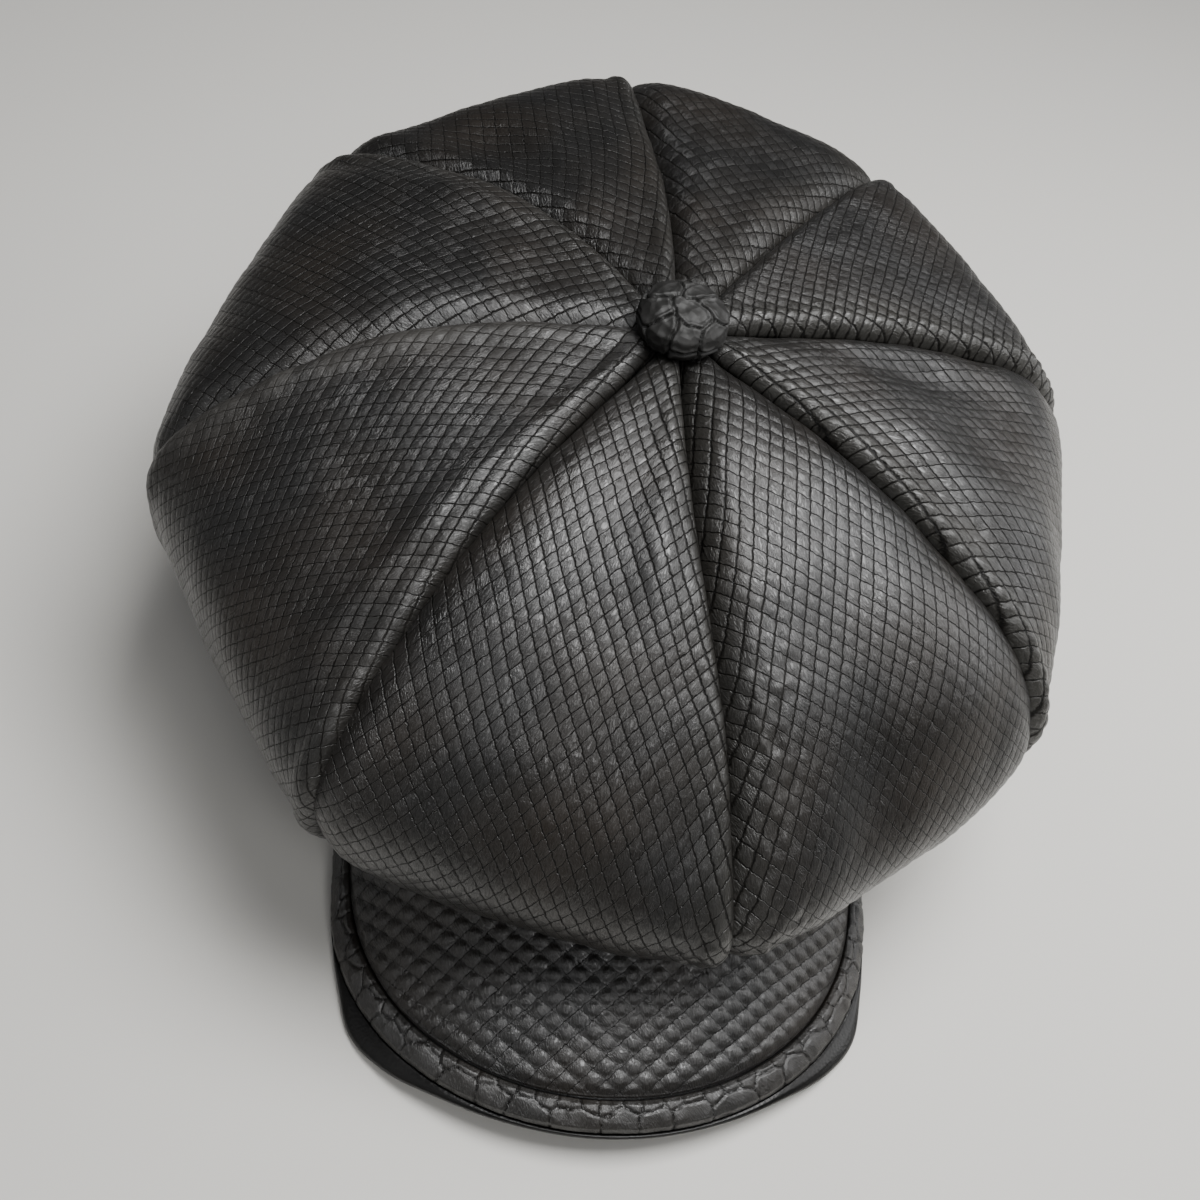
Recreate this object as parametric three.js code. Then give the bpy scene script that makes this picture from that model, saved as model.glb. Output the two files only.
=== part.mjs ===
// An eight-panel leather cap with a covered button and a curved peak, at real size in millimetres.
// +Z is up, the peak points along -Y, and the cap rests on z = 0 on its peak's sides and the
// back of its headband, as it does on a table.
import * as THREE from 'three';

// Leather and seams
const LEATHER = 2; // wall of the crown's panels
const SEAM_GAP = 0.4; // between neighbouring panels, where the stitched seam lies
const FIT_GAP = 0.3; // between pieces that are sewn face to face

// Headband: an elliptical ring, tilted because the peak props up its front
const BAND_HALF_WIDTH = 86;
const BAND_HALF_LENGTH = 101;
const BAND_HEIGHT = 32;
const BAND_WALL = 3;
const BAND_TILT = THREE.MathUtils.degToRad(8.5);
const BAND_SEGMENTS = 72;

// Crown: eight seams run from the top under the button to the headband. Each seam is a
// meridian round the crown's middle. Angles are in degrees from the front towards +X, radii
// from the crown's middle, heights from the floor. The shoulder is where the top turns down,
// the waist is the widest place, and under is the fold that tucks back to the headband.
// Bow turns the seam near the button, and lift is its rise over a straight run on the top.
const CROWN_MIDDLE = { x: 3, y: 20 };
const CROWN_TOP = { x: 7.3, y: 20, z: 138.5 };
const SEAMS = [
  { angle: 8.5, shoulderR: 123, shoulderZ: 88, waistR: 147, waistZ: 62, underR: 130, underZ: 45, lift: 2, bow: -6 },
  { angle: 52, shoulderR: 131, shoulderZ: 98, waistR: 142, waistZ: 77, underR: 128, underZ: 52, lift: 3, bow: 2 },
  { angle: 98, shoulderR: 126, shoulderZ: 116, waistR: 137, waistZ: 98, underR: 126, underZ: 64, lift: 2, bow: 2 },
  { angle: 140, shoulderR: 126, shoulderZ: 130, waistR: 137, waistZ: 115, underR: 126, underZ: 72, lift: 2, bow: 1 },
  { angle: 181, shoulderR: 131, shoulderZ: 136, waistR: 141, waistZ: 118, underR: 128, underZ: 74, lift: 2, bow: -7 },
  { angle: 227, shoulderR: 129, shoulderZ: 125, waistR: 138, waistZ: 108, underR: 126, underZ: 68, lift: 5, bow: -17 },
  { angle: 279, shoulderR: 135, shoulderZ: 106, waistR: 142, waistZ: 90, underR: 129, underZ: 58, lift: 6, bow: -13 },
  { angle: 323, shoulderR: 138, shoulderZ: 92, waistR: 147, waistZ: 74, underR: 131, underZ: 50, lift: 3, bow: -2 },
];
// How full each panel is; the first panel lies between the first and the second seam
const FULLNESS = [1.1, 0.7, 0.9, 0.9, 0.9, 0.9, 0.35, 1.05];
// Folds that the soft leather has taken: a ridge (up) or a hollow (down) on one panel, placed
// across the panel and along its run, with half widths in the same shares
const FOLDS = [
  { panel: 0, across: 0.42, run: 0.64, wide: 0.1, long: 0.12, rise: -2.5 },
  { panel: 0, across: 0.7, run: 0.55, wide: 0.16, long: 0.12, rise: 2 },
  { panel: 1, across: 0.78, run: 0.36, wide: 0.13, long: 0.13, rise: -4.5 },
  { panel: 1, across: 0.35, run: 0.45, wide: 0.15, long: 0.16, rise: 2.5 },
  { panel: 4, across: 0.72, run: 0.45, wide: 0.14, long: 0.14, rise: -4 },
  { panel: 5, across: 0.14, run: 0.34, wide: 0.1, long: 0.16, rise: 3 },
  { panel: 6, across: 0.85, run: 0.38, wide: 0.1, long: 0.22, rise: 2.5 },
  { panel: 7, across: 0.8, run: 0.32, wide: 0.12, long: 0.14, rise: 2.5 },
];
// Places along a seam, as a share of its run from the top (0) to the headband (1)
const STATIONS = { top: 0, inner: 0.16, middle: 0.4, shoulder: 0.6, waist: 0.72, under: 0.86, hem: 1 };
const INNER_SHARE = { radius: 0.3, drop: 0.16 }; // of the shoulder's radius and drop
const MIDDLE_SHARE = { radius: 0.7, drop: 0.54 };
// How a panel swells between its two seams: puff is its rise at mid panel, and round says how
// far its plan follows an arc (1) and not the straight line between the seams (0)
const SWELL = [
  { at: 0, puff: 0.2, round: 0.9 },
  { at: 0.16, puff: 2.6, round: 0.5 },
  { at: 0.4, puff: 5.5, round: 0.1 },
  { at: 0.6, puff: 6, round: 0.05 },
  { at: 0.72, puff: 5, round: 0.05 },
  { at: 0.86, puff: 3.5, round: 0.45 },
  { at: 1, puff: 0, round: 1 },
];
const PUFF_POWER = 4; // high values keep the panel flat and tuck it in at its seams
const FIRST_RUN = 0.023; // the panels stop short of the top, round the button's shank
const HEM_WALL = 2.5;
const CELLS_ACROSS = 8;
const CELLS_ALONG = 20;

// Covered button
const BUTTON_TILT = THREE.MathUtils.degToRad(6);
const BUTTON_SEAT = 0.8; // its flat back above the top of the seams
const BUTTON_OUTLINE = [
  { r: 4.2, z: -4 }, // foot of the shank
  { r: 4.2, z: 0 },
  { r: 10.6, z: 0 },
  { r: 12.1, z: 1.8 },
  { r: 12.4, z: 4.3 },
  { r: 11.8, z: 7 },
  { r: 9.4, z: 9.3 },
  { r: 5.3, z: 10.4 },
];
const BUTTON_SEGMENTS = 32;

// Peak: it leaves the headband's foot and its outer edge is half an ellipse with straight
// ends. It falls from the headband and flattens out towards its edge.
const PEAK_HALF_WIDTH = 80.5;
const PEAK_REACH = 158.5; // front of the edge from the headband's middle
const PEAK_BEND_Y = 88; // where the straight ends meet the ellipse
const PEAK_TIP = { x: 86, y: 37 };
const PEAK_ROOT_SPAN = THREE.MathUtils.degToRad(71);
const PEAK_ROOT_HEIGHT = 5; // above the headband's foot
const PEAK_BEND_SHARE = 0.8;
const PEAK_EDGE = [
  { at: 0, z: 10.5, fall: 24, run: 22 }, // share from the centre to the tip, the edge's height,
  { at: 0.3, z: 8.4, fall: 25, run: 20 }, // its fall in degrees and how long that fall lasts
  { at: 0.55, z: 4.5, fall: 27, run: 15 },
  { at: 0.8, z: 5.5, fall: 38, run: 9 },
  { at: 1, z: 21, fall: 45, run: 2 },
];
const PEAK_TOP_WALL = 2;
const PEAK_UNDER_WALL = 2.5;
const BORDER_WIDTH = 9;
const BORDER_RISE = 3; // top of the border above the peak's middle surface
const LIP = [
  { at: 0, width: 1.7 }, // how far the underside shows past the border
  { at: 0.2, width: 2 },
  { at: 0.32, width: 3.4 },
  { at: 0.42, width: 6 },
  { at: 0.52, width: 6.8 },
  { at: 0.6, width: 3.4 },
  { at: 0.68, width: 1.2 },
  { at: 1, width: 0.9 },
];
const LIP_RISE = 1.3;
const BORDER_GAP = 0.6; // the stitched groove between the top and the border
const PEAK_STEPS = 44;
const PEAK_TOP_STEPS = 7;

/** The smooth curve through a table's values, at a share of its run. */
function through(places, values, at) {
  const last = places.length - 1;
  let i = 0;
  while (i < last - 1 && at >= places[i + 1]) i += 1;
  const rise = (j) => (values[j + 1] - values[j]) / (places[j + 1] - places[j]);
  const slope = (j) => {
    if (j === 0) return 1.5 * rise(0) - 0.5 * slope(1);
    if (j === last) return 1.5 * rise(last - 1) - 0.5 * slope(last - 1);
    const before = places[j] - places[j - 1];
    const after = places[j + 1] - places[j];
    return (rise(j - 1) * after + rise(j) * before) / (before + after);
  };
  const run = places[i + 1] - places[i];
  const u = (at - places[i]) / run;
  const u2 = u * u;
  const u3 = u2 * u;
  return (
    (2 * u3 - 3 * u2 + 1) * values[i] +
    (u3 - 2 * u2 + u) * run * slope(i) +
    (3 * u2 - 2 * u3) * values[i + 1] +
    (u3 - u2) * run * slope(i + 1)
  );
}

/** A column of a table as a list. */
const column = (table, name) => table.map((row) => row[name]);

/** A point given in the headband's own tilted frame, whose zero height is the band's foot. */
function onBand(x, y, height) {
  const c = Math.cos(BAND_TILT);
  const s = Math.sin(BAND_TILT);
  return new THREE.Vector3(x, y * c + height * s, (BAND_HALF_LENGTH - y) * s + height * c);
}

/** The headband's outline, grown by a margin, at an angle from the front towards +X. */
function bandOutline(angle, grow, height) {
  const x = (BAND_HALF_WIDTH + grow) * Math.sin(angle);
  const y = -(BAND_HALF_LENGTH + grow) * Math.cos(angle);
  return onBand(x, y, height);
}

/** The middle that the seams run round: the top, then the crown's, then the headband's. */
function middleAt(run) {
  const places = [STATIONS.top, STATIONS.shoulder, 0.8, STATIONS.hem];
  const x = through(places, [CROWN_TOP.x, CROWN_MIDDLE.x, 0.7 * CROWN_MIDDLE.x, 0], run);
  const y = through(places, [CROWN_TOP.y, CROWN_MIDDLE.y, 0.7 * CROWN_MIDDLE.y, 0], run);
  return { x, y };
}

/** Where the hem meets the headband's top for a direction in plan. */
function hemPoint(angle) {
  const dx = Math.sin(angle) / BAND_HALF_WIDTH;
  const dy = Math.cos(angle) / BAND_HALF_LENGTH;
  const around = Math.atan2(dx, dy);
  return bandOutline(around, -0.2, BAND_HEIGHT + FIT_GAP);
}

/** Radius and height of one seam at a share of its run. */
function seamProfile(seam, run) {
  const hem = hemPoint(THREE.MathUtils.degToRad(seam.angle));
  const drop = seam.shoulderZ - CROWN_TOP.z;
  const radii = [
    0,
    INNER_SHARE.radius * seam.shoulderR,
    MIDDLE_SHARE.radius * seam.shoulderR,
    seam.shoulderR,
    seam.waistR,
    seam.underR,
    Math.hypot(hem.x, hem.y),
  ];
  const heights = [
    CROWN_TOP.z,
    CROWN_TOP.z + INNER_SHARE.drop * drop + 0.5 * seam.lift,
    CROWN_TOP.z + MIDDLE_SHARE.drop * drop + seam.lift,
    seam.shoulderZ,
    seam.waistZ,
    seam.underZ,
    hem.z,
  ];
  const places = Object.values(STATIONS);
  return { r: through(places, radii, run), z: through(places, heights, run) };
}

/** The direction of a seam at a share of its run, in radians from the front towards +X. */
function seamAngle(seam, run) {
  const bow = seam.bow * (1 - THREE.MathUtils.smoothstep(run, 0, 0.62));
  return THREE.MathUtils.degToRad(seam.angle + bow);
}

/** A point of the seam itself. */
function seamPoint(index, run) {
  const seam = SEAMS[index % SEAMS.length];
  const angle = seamAngle(seam, run);
  const { r, z } = seamProfile(seam, run);
  const middle = middleAt(run);
  return new THREE.Vector3(middle.x + r * Math.sin(angle), middle.y - r * Math.cos(angle), z);
}

/** A point of a panel's outer face: across 0 is its first seam, 1 its second. */
function facePoint(index, across, run) {
  const first = SEAMS[index];
  const second = SEAMS[(index + 1) % SEAMS.length];
  const start = seamAngle(first, run);
  const turn = (seamAngle(second, run) - start + 2 * Math.PI) % (2 * Math.PI);
  const angle = start + turn * across;
  const places = column(SWELL, 'at');
  const round = through(places, column(SWELL, 'round'), run);
  const chord = seamPoint(index, run).lerp(seamPoint(index + 1, run), across);
  const radius = THREE.MathUtils.lerp(seamProfile(first, run).r, seamProfile(second, run).r, across);
  const middle = middleAt(run);
  const arc = new THREE.Vector3(
    middle.x + radius * Math.sin(angle),
    middle.y - radius * Math.cos(angle),
    chord.z,
  );
  // the last stretch settles onto the headband's top
  const settle = THREE.MathUtils.smoothstep(run, 0.84, 1);
  return chord.lerp(arc, round).lerp(hemPoint(angle), settle * settle);
}

/** The outward normal of a panel's face before it swells. */
function faceNormal(index, across, run) {
  const step = 0.004;
  const a0 = Math.max(across - step, 0);
  const a1 = Math.min(across + step, 1);
  const r0 = Math.max(run - step, 0.01);
  const r1 = Math.min(run + step, 1);
  const u = facePoint(index, a1, run).sub(facePoint(index, a0, run));
  const v = facePoint(index, across, r1).sub(facePoint(index, across, r0));
  return v.cross(u).normalize();
}

/** A point of the swollen face. */
function swollenPoint(index, across, run) {
  const puff = FULLNESS[index] * through(column(SWELL, 'at'), column(SWELL, 'puff'), run);
  const shape = 1 - Math.abs(2 * across - 1) ** PUFF_POWER;
  let rise = puff * shape;
  FOLDS.filter((fold) => fold.panel === index).forEach((fold) => {
    const u = (across - fold.across) / fold.wide;
    const v = (run - fold.run) / fold.long;
    rise += fold.rise * Math.exp(-u * u - v * v) * Math.min(1, 6 * across, 6 * (1 - across));
  });
  return facePoint(index, across, run).addScaledVector(faceNormal(index, across, run), rise);
}

/** Outward normal of the swollen face, by differences. */
function swollenNormal(index, across, run) {
  const step = 0.01;
  const a0 = Math.max(across - step, 0);
  const a1 = Math.min(across + step, 1);
  const r0 = Math.max(run - step, 0.01);
  const r1 = Math.min(run + step, 1);
  const u = swollenPoint(index, a1, run).sub(swollenPoint(index, a0, run));
  const v = swollenPoint(index, across, r1).sub(swollenPoint(index, across, r0));
  return v.cross(u).normalize();
}

/** At a seam both panels share one way out and one way across, so their cut faces are parallel. */
function seamFrame(index, run) {
  const before = (index + SEAMS.length - 1) % SEAMS.length;
  const out = faceNormal(before, 1, run).add(faceNormal(index % SEAMS.length, 0, run)).normalize();
  const step = 0.004;
  const along = seamPoint(index, Math.min(run + step, 1)).sub(seamPoint(index, Math.max(run - step, 0.01)));
  const across = along.cross(out).normalize();
  return { out, across };
}

/** A closed solid from a list of rings with equal numbers of points, capped at both ends. */
function loft(rings) {
  const size = rings[0].length;
  const positions = rings.flat().flatMap((p) => [p.x, p.y, p.z]);
  const faces = [];
  for (let i = 0; i < rings.length - 1; i += 1) {
    for (let j = 0; j < size; j += 1) {
      const a = i * size + j;
      const b = i * size + ((j + 1) % size);
      faces.push(a, b, b + size, a, b + size, a + size);
    }
  }
  const end = (rings.length - 1) * size;
  const flat = (ring) => {
    const origin = ring[0];
    const far = ring.reduce((best, p) => (p.distanceTo(origin) > best.distanceTo(origin) ? p : best));
    const x = far.clone().sub(origin).normalize();
    const area = new THREE.Vector3();
    ring.forEach((p, j) => {
      const q = ring[(j + 1) % size];
      area.add(p.clone().sub(origin).cross(q.clone().sub(origin)));
    });
    const y = area.normalize().cross(x);
    return ring.map((p) => {
      const d = p.clone().sub(origin);
      return new THREE.Vector2(d.dot(x), d.dot(y));
    });
  };
  THREE.ShapeUtils.triangulateShape(flat(rings[0]), []).forEach(([a, b, c]) => faces.push(c, b, a));
  THREE.ShapeUtils.triangulateShape(flat(rings[rings.length - 1]), []).forEach(([a, b, c]) => {
    faces.push(end + a, end + b, end + c);
  });
  const geometry = new THREE.BufferGeometry();
  geometry.setAttribute('position', new THREE.Float32BufferAttribute(positions, 3));
  geometry.setIndex(faces);
  return outward(geometry);
}

/** Turns a closed geometry's faces outwards if they point in. */
function outward(geometry) {
  const p = geometry.attributes.position;
  const index = geometry.index.array;
  const corner = (i) => new THREE.Vector3().fromBufferAttribute(p, index[i]);
  let volume = 0;
  for (let i = 0; i < index.length; i += 3) {
    volume += corner(i).dot(corner(i + 1).cross(corner(i + 2)));
  }
  if (volume < 0) {
    for (let i = 0; i < index.length; i += 3) [index[i], index[i + 1]] = [index[i + 1], index[i]];
  }
  geometry.computeVertexNormals();
  return geometry;
}

/** One crown panel: each ring goes over the outer face and back along the inner one. */
function panelGeometry(index) {
  const rings = [];
  for (let i = 0; i <= CELLS_ALONG; i += 1) {
    const run = FIRST_RUN + (1 - FIRST_RUN) * (i / CELLS_ALONG);
    const outer = [];
    const inner = [];
    for (let j = 0; j <= CELLS_ACROSS; j += 1) {
      const across = j / CELLS_ACROSS;
      const onSeam = j === 0 || j === CELLS_ACROSS;
      const frame = onSeam ? seamFrame(index + (j === 0 ? 0 : 1), run) : null;
      const point = swollenPoint(index, across, run);
      let out = onSeam ? frame.out : swollenNormal(index, across, run);
      if (onSeam) point.addScaledVector(frame.across, (j === 0 ? -1 : 1) * 0.5 * SEAM_GAP);
      let wall = LEATHER;
      if (i === CELLS_ALONG) {
        // the hem's cut face lies flat on the headband's top
        const centre = onBand(0, 0, BAND_HEIGHT + FIT_GAP);
        out = point.clone().sub(centre).normalize();
        wall = HEM_WALL;
      }
      outer.push(point);
      inner.unshift(point.clone().addScaledVector(out, -wall));
    }
    rings.push([...outer, ...inner]);
  }
  return loft(rings);
}

/** The headband: an upright elliptical ring between two parallel planes. */
function headbandGeometry() {
  const ring = [];
  for (let i = 0; i < BAND_SEGMENTS; i += 1) {
    const angle = (2 * Math.PI * i) / BAND_SEGMENTS;
    ring.push([
      bandOutline(angle, 0, 0),
      bandOutline(angle, 0, BAND_HEIGHT),
      bandOutline(angle, -BAND_WALL, BAND_HEIGHT),
      bandOutline(angle, -BAND_WALL, 0),
    ]);
  }
  const positions = ring.flat().flatMap((p) => [p.x, p.y, p.z]);
  const faces = [];
  for (let i = 0; i < BAND_SEGMENTS; i += 1) {
    for (let j = 0; j < 4; j += 1) {
      const a = i * 4 + j;
      const b = i * 4 + ((j + 1) % 4);
      const c = ((i + 1) % BAND_SEGMENTS) * 4 + ((j + 1) % 4);
      const d = ((i + 1) % BAND_SEGMENTS) * 4 + j;
      faces.push(a, b, c, a, c, d);
    }
  }
  const geometry = new THREE.BufferGeometry();
  geometry.setAttribute('position', new THREE.Float32BufferAttribute(positions, 3));
  geometry.setIndex(faces);
  return outward(geometry);
}

/** The peak's outer edge, for a share from -1 (one tip) over 0 (front) to 1 (other tip). */
function peakEdge(share) {
  const side = Math.sign(share) || 1;
  const size = Math.abs(share);
  const z = through(column(PEAK_EDGE, 'at'), column(PEAK_EDGE, 'z'), size);
  if (size <= PEAK_BEND_SHARE) {
    const turn = (Math.PI / 2) * (size / PEAK_BEND_SHARE);
    const y = PEAK_BEND_Y + (PEAK_REACH - PEAK_BEND_Y) * Math.cos(turn);
    return new THREE.Vector3(side * PEAK_HALF_WIDTH * Math.sin(turn), -y, z);
  }
  const rest = (size - PEAK_BEND_SHARE) / (1 - PEAK_BEND_SHARE);
  const x = THREE.MathUtils.lerp(PEAK_HALF_WIDTH, PEAK_TIP.x, rest * rest);
  return new THREE.Vector3(side * x, -THREE.MathUtils.lerp(PEAK_BEND_Y, PEAK_TIP.y, rest), z);
}

/** Where the peak meets the headband, for the same share. */
function peakRoot(share) {
  return bandOutline(share * PEAK_ROOT_SPAN, 0.5, PEAK_ROOT_HEIGHT);
}

/** A point of the peak's middle surface: along is 0 at the headband and 1 at the edge. */
function peakMiddle(share, along) {
  const root = peakRoot(share);
  const edge = peakEdge(share);
  const places = column(PEAK_EDGE, 'at');
  const fall = THREE.MathUtils.degToRad(through(places, column(PEAK_EDGE, 'fall'), Math.abs(share)));
  const run = through(places, column(PEAK_EDGE, 'run'), Math.abs(share));
  const step = 0.01;
  const tangent = peakEdge(Math.min(share + step, 1)).sub(peakEdge(Math.max(share - step, -1)));
  const inward = new THREE.Vector3(-tangent.y, tangent.x, 0).normalize();
  const late = edge.clone().addScaledVector(inward, run).add(new THREE.Vector3(0, 0, run * Math.tan(fall)));
  const early = root.clone().lerp(late, 0.5);
  const t = along;
  const s = 1 - t;
  return root
    .multiplyScalar(s * s * s)
    .addScaledVector(early, 3 * s * s * t)
    .addScaledVector(late, 3 * s * t * t)
    .addScaledVector(edge, t * t * t);
}

/** The way out along the peak's middle surface, and the way up from it. */
function peakFrame(share, along) {
  const step = 0.01;
  const out = peakMiddle(share, Math.min(along + step, 1)).sub(peakMiddle(share, Math.max(along - step, 0)));
  const s0 = Math.max(share - step, -1);
  const s1 = Math.min(share + step, 1);
  const across = peakMiddle(s1, along).sub(peakMiddle(s0, along));
  const up = out.clone().cross(across).normalize();
  if (up.z < 0) up.negate();
  return { out: out.normalize(), up };
}

/** One line of the peak from the headband to the edge, measured along the leather. */
function peakLine(share) {
  const samples = 24;
  const lengths = [0];
  for (let i = 1; i <= samples; i += 1) {
    const piece = peakMiddle(share, i / samples).distanceTo(peakMiddle(share, (i - 1) / samples));
    lengths.push(lengths[i - 1] + piece);
  }
  const length = lengths[samples];
  /** A point at a distance from the headband and a height over the peak's middle surface. */
  const at = (distance, height) => {
    const inside = THREE.MathUtils.clamp(distance, 0, length);
    let i = 0;
    while (i < samples - 1 && lengths[i + 1] < inside) i += 1;
    const along = (i + (inside - lengths[i]) / (lengths[i + 1] - lengths[i])) / samples;
    const { out, up } = peakFrame(share, along);
    return peakMiddle(share, along).addScaledVector(out, distance - inside).addScaledVector(up, height);
  };
  const angle = share * PEAK_ROOT_SPAN;
  const away = new THREE.Vector3(Math.sin(angle) / BAND_HALF_WIDTH, -Math.cos(angle) / BAND_HALF_LENGTH, 0);
  away.normalize();
  const first = peakFrame(share, 0);
  /** The distance at which a point of that height just touches the headband. */
  const start = (height) => (-height * first.up.dot(away)) / first.out.dot(away);
  return { at, start, length };
}

/** Width of the peak's border on a line of a given length. */
const borderWidth = (length) => Math.min(BORDER_WIDTH, 0.45 * length);

/** How far the underside's lip shows past the border. */
const lipWidth = (share) => through(column(LIP, 'at'), column(LIP, 'width'), Math.abs(share));

/** Lofts a section along the peak from tip to tip. */
function alongPeak(section) {
  const rings = [];
  for (let i = 0; i <= PEAK_STEPS; i += 1) {
    const share = -1 + (2 * i) / PEAK_STEPS;
    rings.push(section(peakLine(share), share));
  }
  return loft(rings);
}

/** The peak's scaled top sheet, inside the border. */
function peakTopSection(line) {
  const end = line.length - borderWidth(line.length);
  const top = [];
  const bottom = [];
  const high = FIT_GAP / 2 + PEAK_TOP_WALL;
  const low = FIT_GAP / 2;
  for (let i = 0; i <= PEAK_TOP_STEPS; i += 1) {
    const share = i / PEAK_TOP_STEPS;
    top.push(line.at(THREE.MathUtils.lerp(line.start(high), end, share), high));
    bottom.unshift(line.at(THREE.MathUtils.lerp(line.start(low), end, share), low));
  }
  return [...top, ...bottom];
}

/** The border: a padded strip of large scales round the edge. */
function peakBorderSection(line) {
  const width = borderWidth(line.length) - BORDER_GAP;
  const start = line.length - width;
  const base = FIT_GAP / 2;
  return [
    line.at(start, base),
    line.at(start, base + 0.55 * BORDER_RISE),
    line.at(start + 0.14 * width, base + 0.88 * BORDER_RISE),
    line.at(start + 0.5 * width, base + BORDER_RISE),
    line.at(start + 0.86 * width, base + 0.82 * BORDER_RISE),
    line.at(line.length, base + 0.4 * BORDER_RISE),
    line.at(line.length, base),
  ];
}

/** The smooth underside, whose rounded lip shows past the border. */
function peakUnderSection(line, share) {
  const lip = lipWidth(share);
  const edge = line.length;
  const top = -FIT_GAP / 2;
  const foot = top - PEAK_UNDER_WALL;
  const nose = edge + lip;
  const ring = [];
  for (let i = 0; i <= 4; i += 1) {
    ring.push(line.at(THREE.MathUtils.lerp(line.start(foot), edge, i / 4), foot));
  }
  ring.push(
    line.at(nose - 0.45 * lip, foot),
    line.at(nose, 0.5 * (foot + top)),
    line.at(nose - 0.1 * lip, top + 0.6 * LIP_RISE),
    line.at(nose - 0.5 * lip, top + LIP_RISE),
    line.at(edge + FIT_GAP, top + 0.7 * LIP_RISE),
    line.at(edge + FIT_GAP, top),
  );
  for (let i = 3; i >= 0; i -= 1) {
    ring.push(line.at(THREE.MathUtils.lerp(line.start(top), edge, i / 4), top));
  }
  return ring;
}

/** The covered button with the shank that holds it. */
function buttonGeometry() {
  const outline = [new THREE.Vector2(0, BUTTON_OUTLINE[0].z)];
  BUTTON_OUTLINE.forEach((p) => outline.push(new THREE.Vector2(p.r, p.z)));
  outline.push(new THREE.Vector2(0, BUTTON_OUTLINE[BUTTON_OUTLINE.length - 1].z + 0.2));
  return new THREE.LatheGeometry(outline, BUTTON_SEGMENTS);
}

// Materials: black scaled leather with a satin sheen, and smooth black leather
const scaled = () => new THREE.MeshStandardMaterial({ color: 0x23221f, roughness: 0.45, metalness: 0 });
const smooth = () => new THREE.MeshStandardMaterial({ color: 0x151413, roughness: 0.35, metalness: 0 });

const cap = new THREE.Group();

/** Adds a named piece to the cap. */
function add(name, geometry, material) {
  const mesh = new THREE.Mesh(geometry, material);
  mesh.name = name;
  cap.add(mesh);
  return mesh;
}

SEAMS.forEach((seam, index) => add(`crown_panel_${index + 1}`, panelGeometry(index), scaled()));
add('headband', headbandGeometry(), smooth());
add('peak_top', alongPeak(peakTopSection), scaled());
add('peak_border', alongPeak(peakBorderSection), scaled());
add('peak_underside', alongPeak(peakUnderSection), smooth());

const button = add('button', buttonGeometry(), scaled());
button.rotation.x = Math.PI / 2 + BUTTON_TILT; // the lathe's axis is +Y
button.position.set(CROWN_TOP.x, CROWN_TOP.y, CROWN_TOP.z + BUTTON_SEAT);

// The origin lies on the floor under the middle of the cap's bounding box
const box = new THREE.Box3().setFromObject(cap);
const middle = box.getCenter(new THREE.Vector3());
cap.position.set(-middle.x, -middle.y, -box.min.z);

export default cap;
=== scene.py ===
"""A cap of black scaled leather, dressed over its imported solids.

Eight crown panels, a covered button, a headband and a curved peak with a scaled border are
built as surfaces worked out from a few tables of sizes. All sizes are in millimetres in the
cap's own frame, and become metres when a mesh is written.
"""

from __future__ import annotations

import logging
import math
from collections.abc import Sequence
from dataclasses import dataclass
from enum import Enum

import bmesh
import bpy
import numpy as np
from mathutils import Matrix, Vector

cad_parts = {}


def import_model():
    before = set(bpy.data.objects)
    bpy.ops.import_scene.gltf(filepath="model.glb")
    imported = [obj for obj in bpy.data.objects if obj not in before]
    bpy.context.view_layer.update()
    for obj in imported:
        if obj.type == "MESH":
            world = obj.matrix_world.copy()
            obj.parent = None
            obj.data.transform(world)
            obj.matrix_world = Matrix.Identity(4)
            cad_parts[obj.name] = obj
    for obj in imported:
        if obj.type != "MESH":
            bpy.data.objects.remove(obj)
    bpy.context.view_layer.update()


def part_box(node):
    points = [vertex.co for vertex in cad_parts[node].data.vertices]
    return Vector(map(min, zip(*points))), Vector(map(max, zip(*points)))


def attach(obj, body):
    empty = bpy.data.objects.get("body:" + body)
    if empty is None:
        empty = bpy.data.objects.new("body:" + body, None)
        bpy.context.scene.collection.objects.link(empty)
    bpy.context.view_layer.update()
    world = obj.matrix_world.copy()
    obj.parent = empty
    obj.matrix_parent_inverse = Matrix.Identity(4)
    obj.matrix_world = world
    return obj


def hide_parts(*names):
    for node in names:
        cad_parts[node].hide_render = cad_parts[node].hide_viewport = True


LOG = logging.getLogger("cap")
METRE = 0.001
# Most of a noise node's values lie between these
NOISE_SPAN = {"From Min": 0.3, "From Max": 0.7}


class Side(Enum):
    """Which panel's edge stands proud where two panels meet at a seam."""

    FIRST = 0
    SECOND = 1


@dataclass(frozen=True)
class Seam:
    """One crown seam: its direction in degrees from the front, and radius and height of its bends.

    lift raises it near the button, bow turns it there, and roll is how deep it is drawn in.
    """

    angle: float
    shoulder: tuple[float, float]
    waist: tuple[float, float]
    under: tuple[float, float]
    lift: float
    bow: float
    roll: float


@dataclass(frozen=True)
class Fold:
    """A ridge or hollow in one panel, placed across the panel and along its run."""

    panel: int
    across: float
    run: float
    wide: float
    long: float
    rise: float


@dataclass(frozen=True)
class Rub:
    """A rough place on one panel: its middle and reach in mm from a seam and along the run.

    wear is how far the glaze is rubbed away, and crumple the height of the wrinkles in mm.
    """

    panel: int
    side: Side
    away: float
    along: float
    wide: float
    long: float
    wear: float
    crumple: float


@dataclass(frozen=True)
class Skin:
    """How the scales lie on one panel.

    fine and broad are their sizes in mm at the button and at the waist, right and left the
    angles in degrees from the panel's middle line to the two ways that the grooves run, grow
    how much larger they get towards one seam (below 0 for the second), and pad how much
    higher they stand there. The grooves to the right are the wider ones unless left_wide is set.
    """

    fine: float
    broad: float
    right: float
    left: float
    grow: float
    pad: float
    seed: float
    left_wide: bool = False


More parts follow.
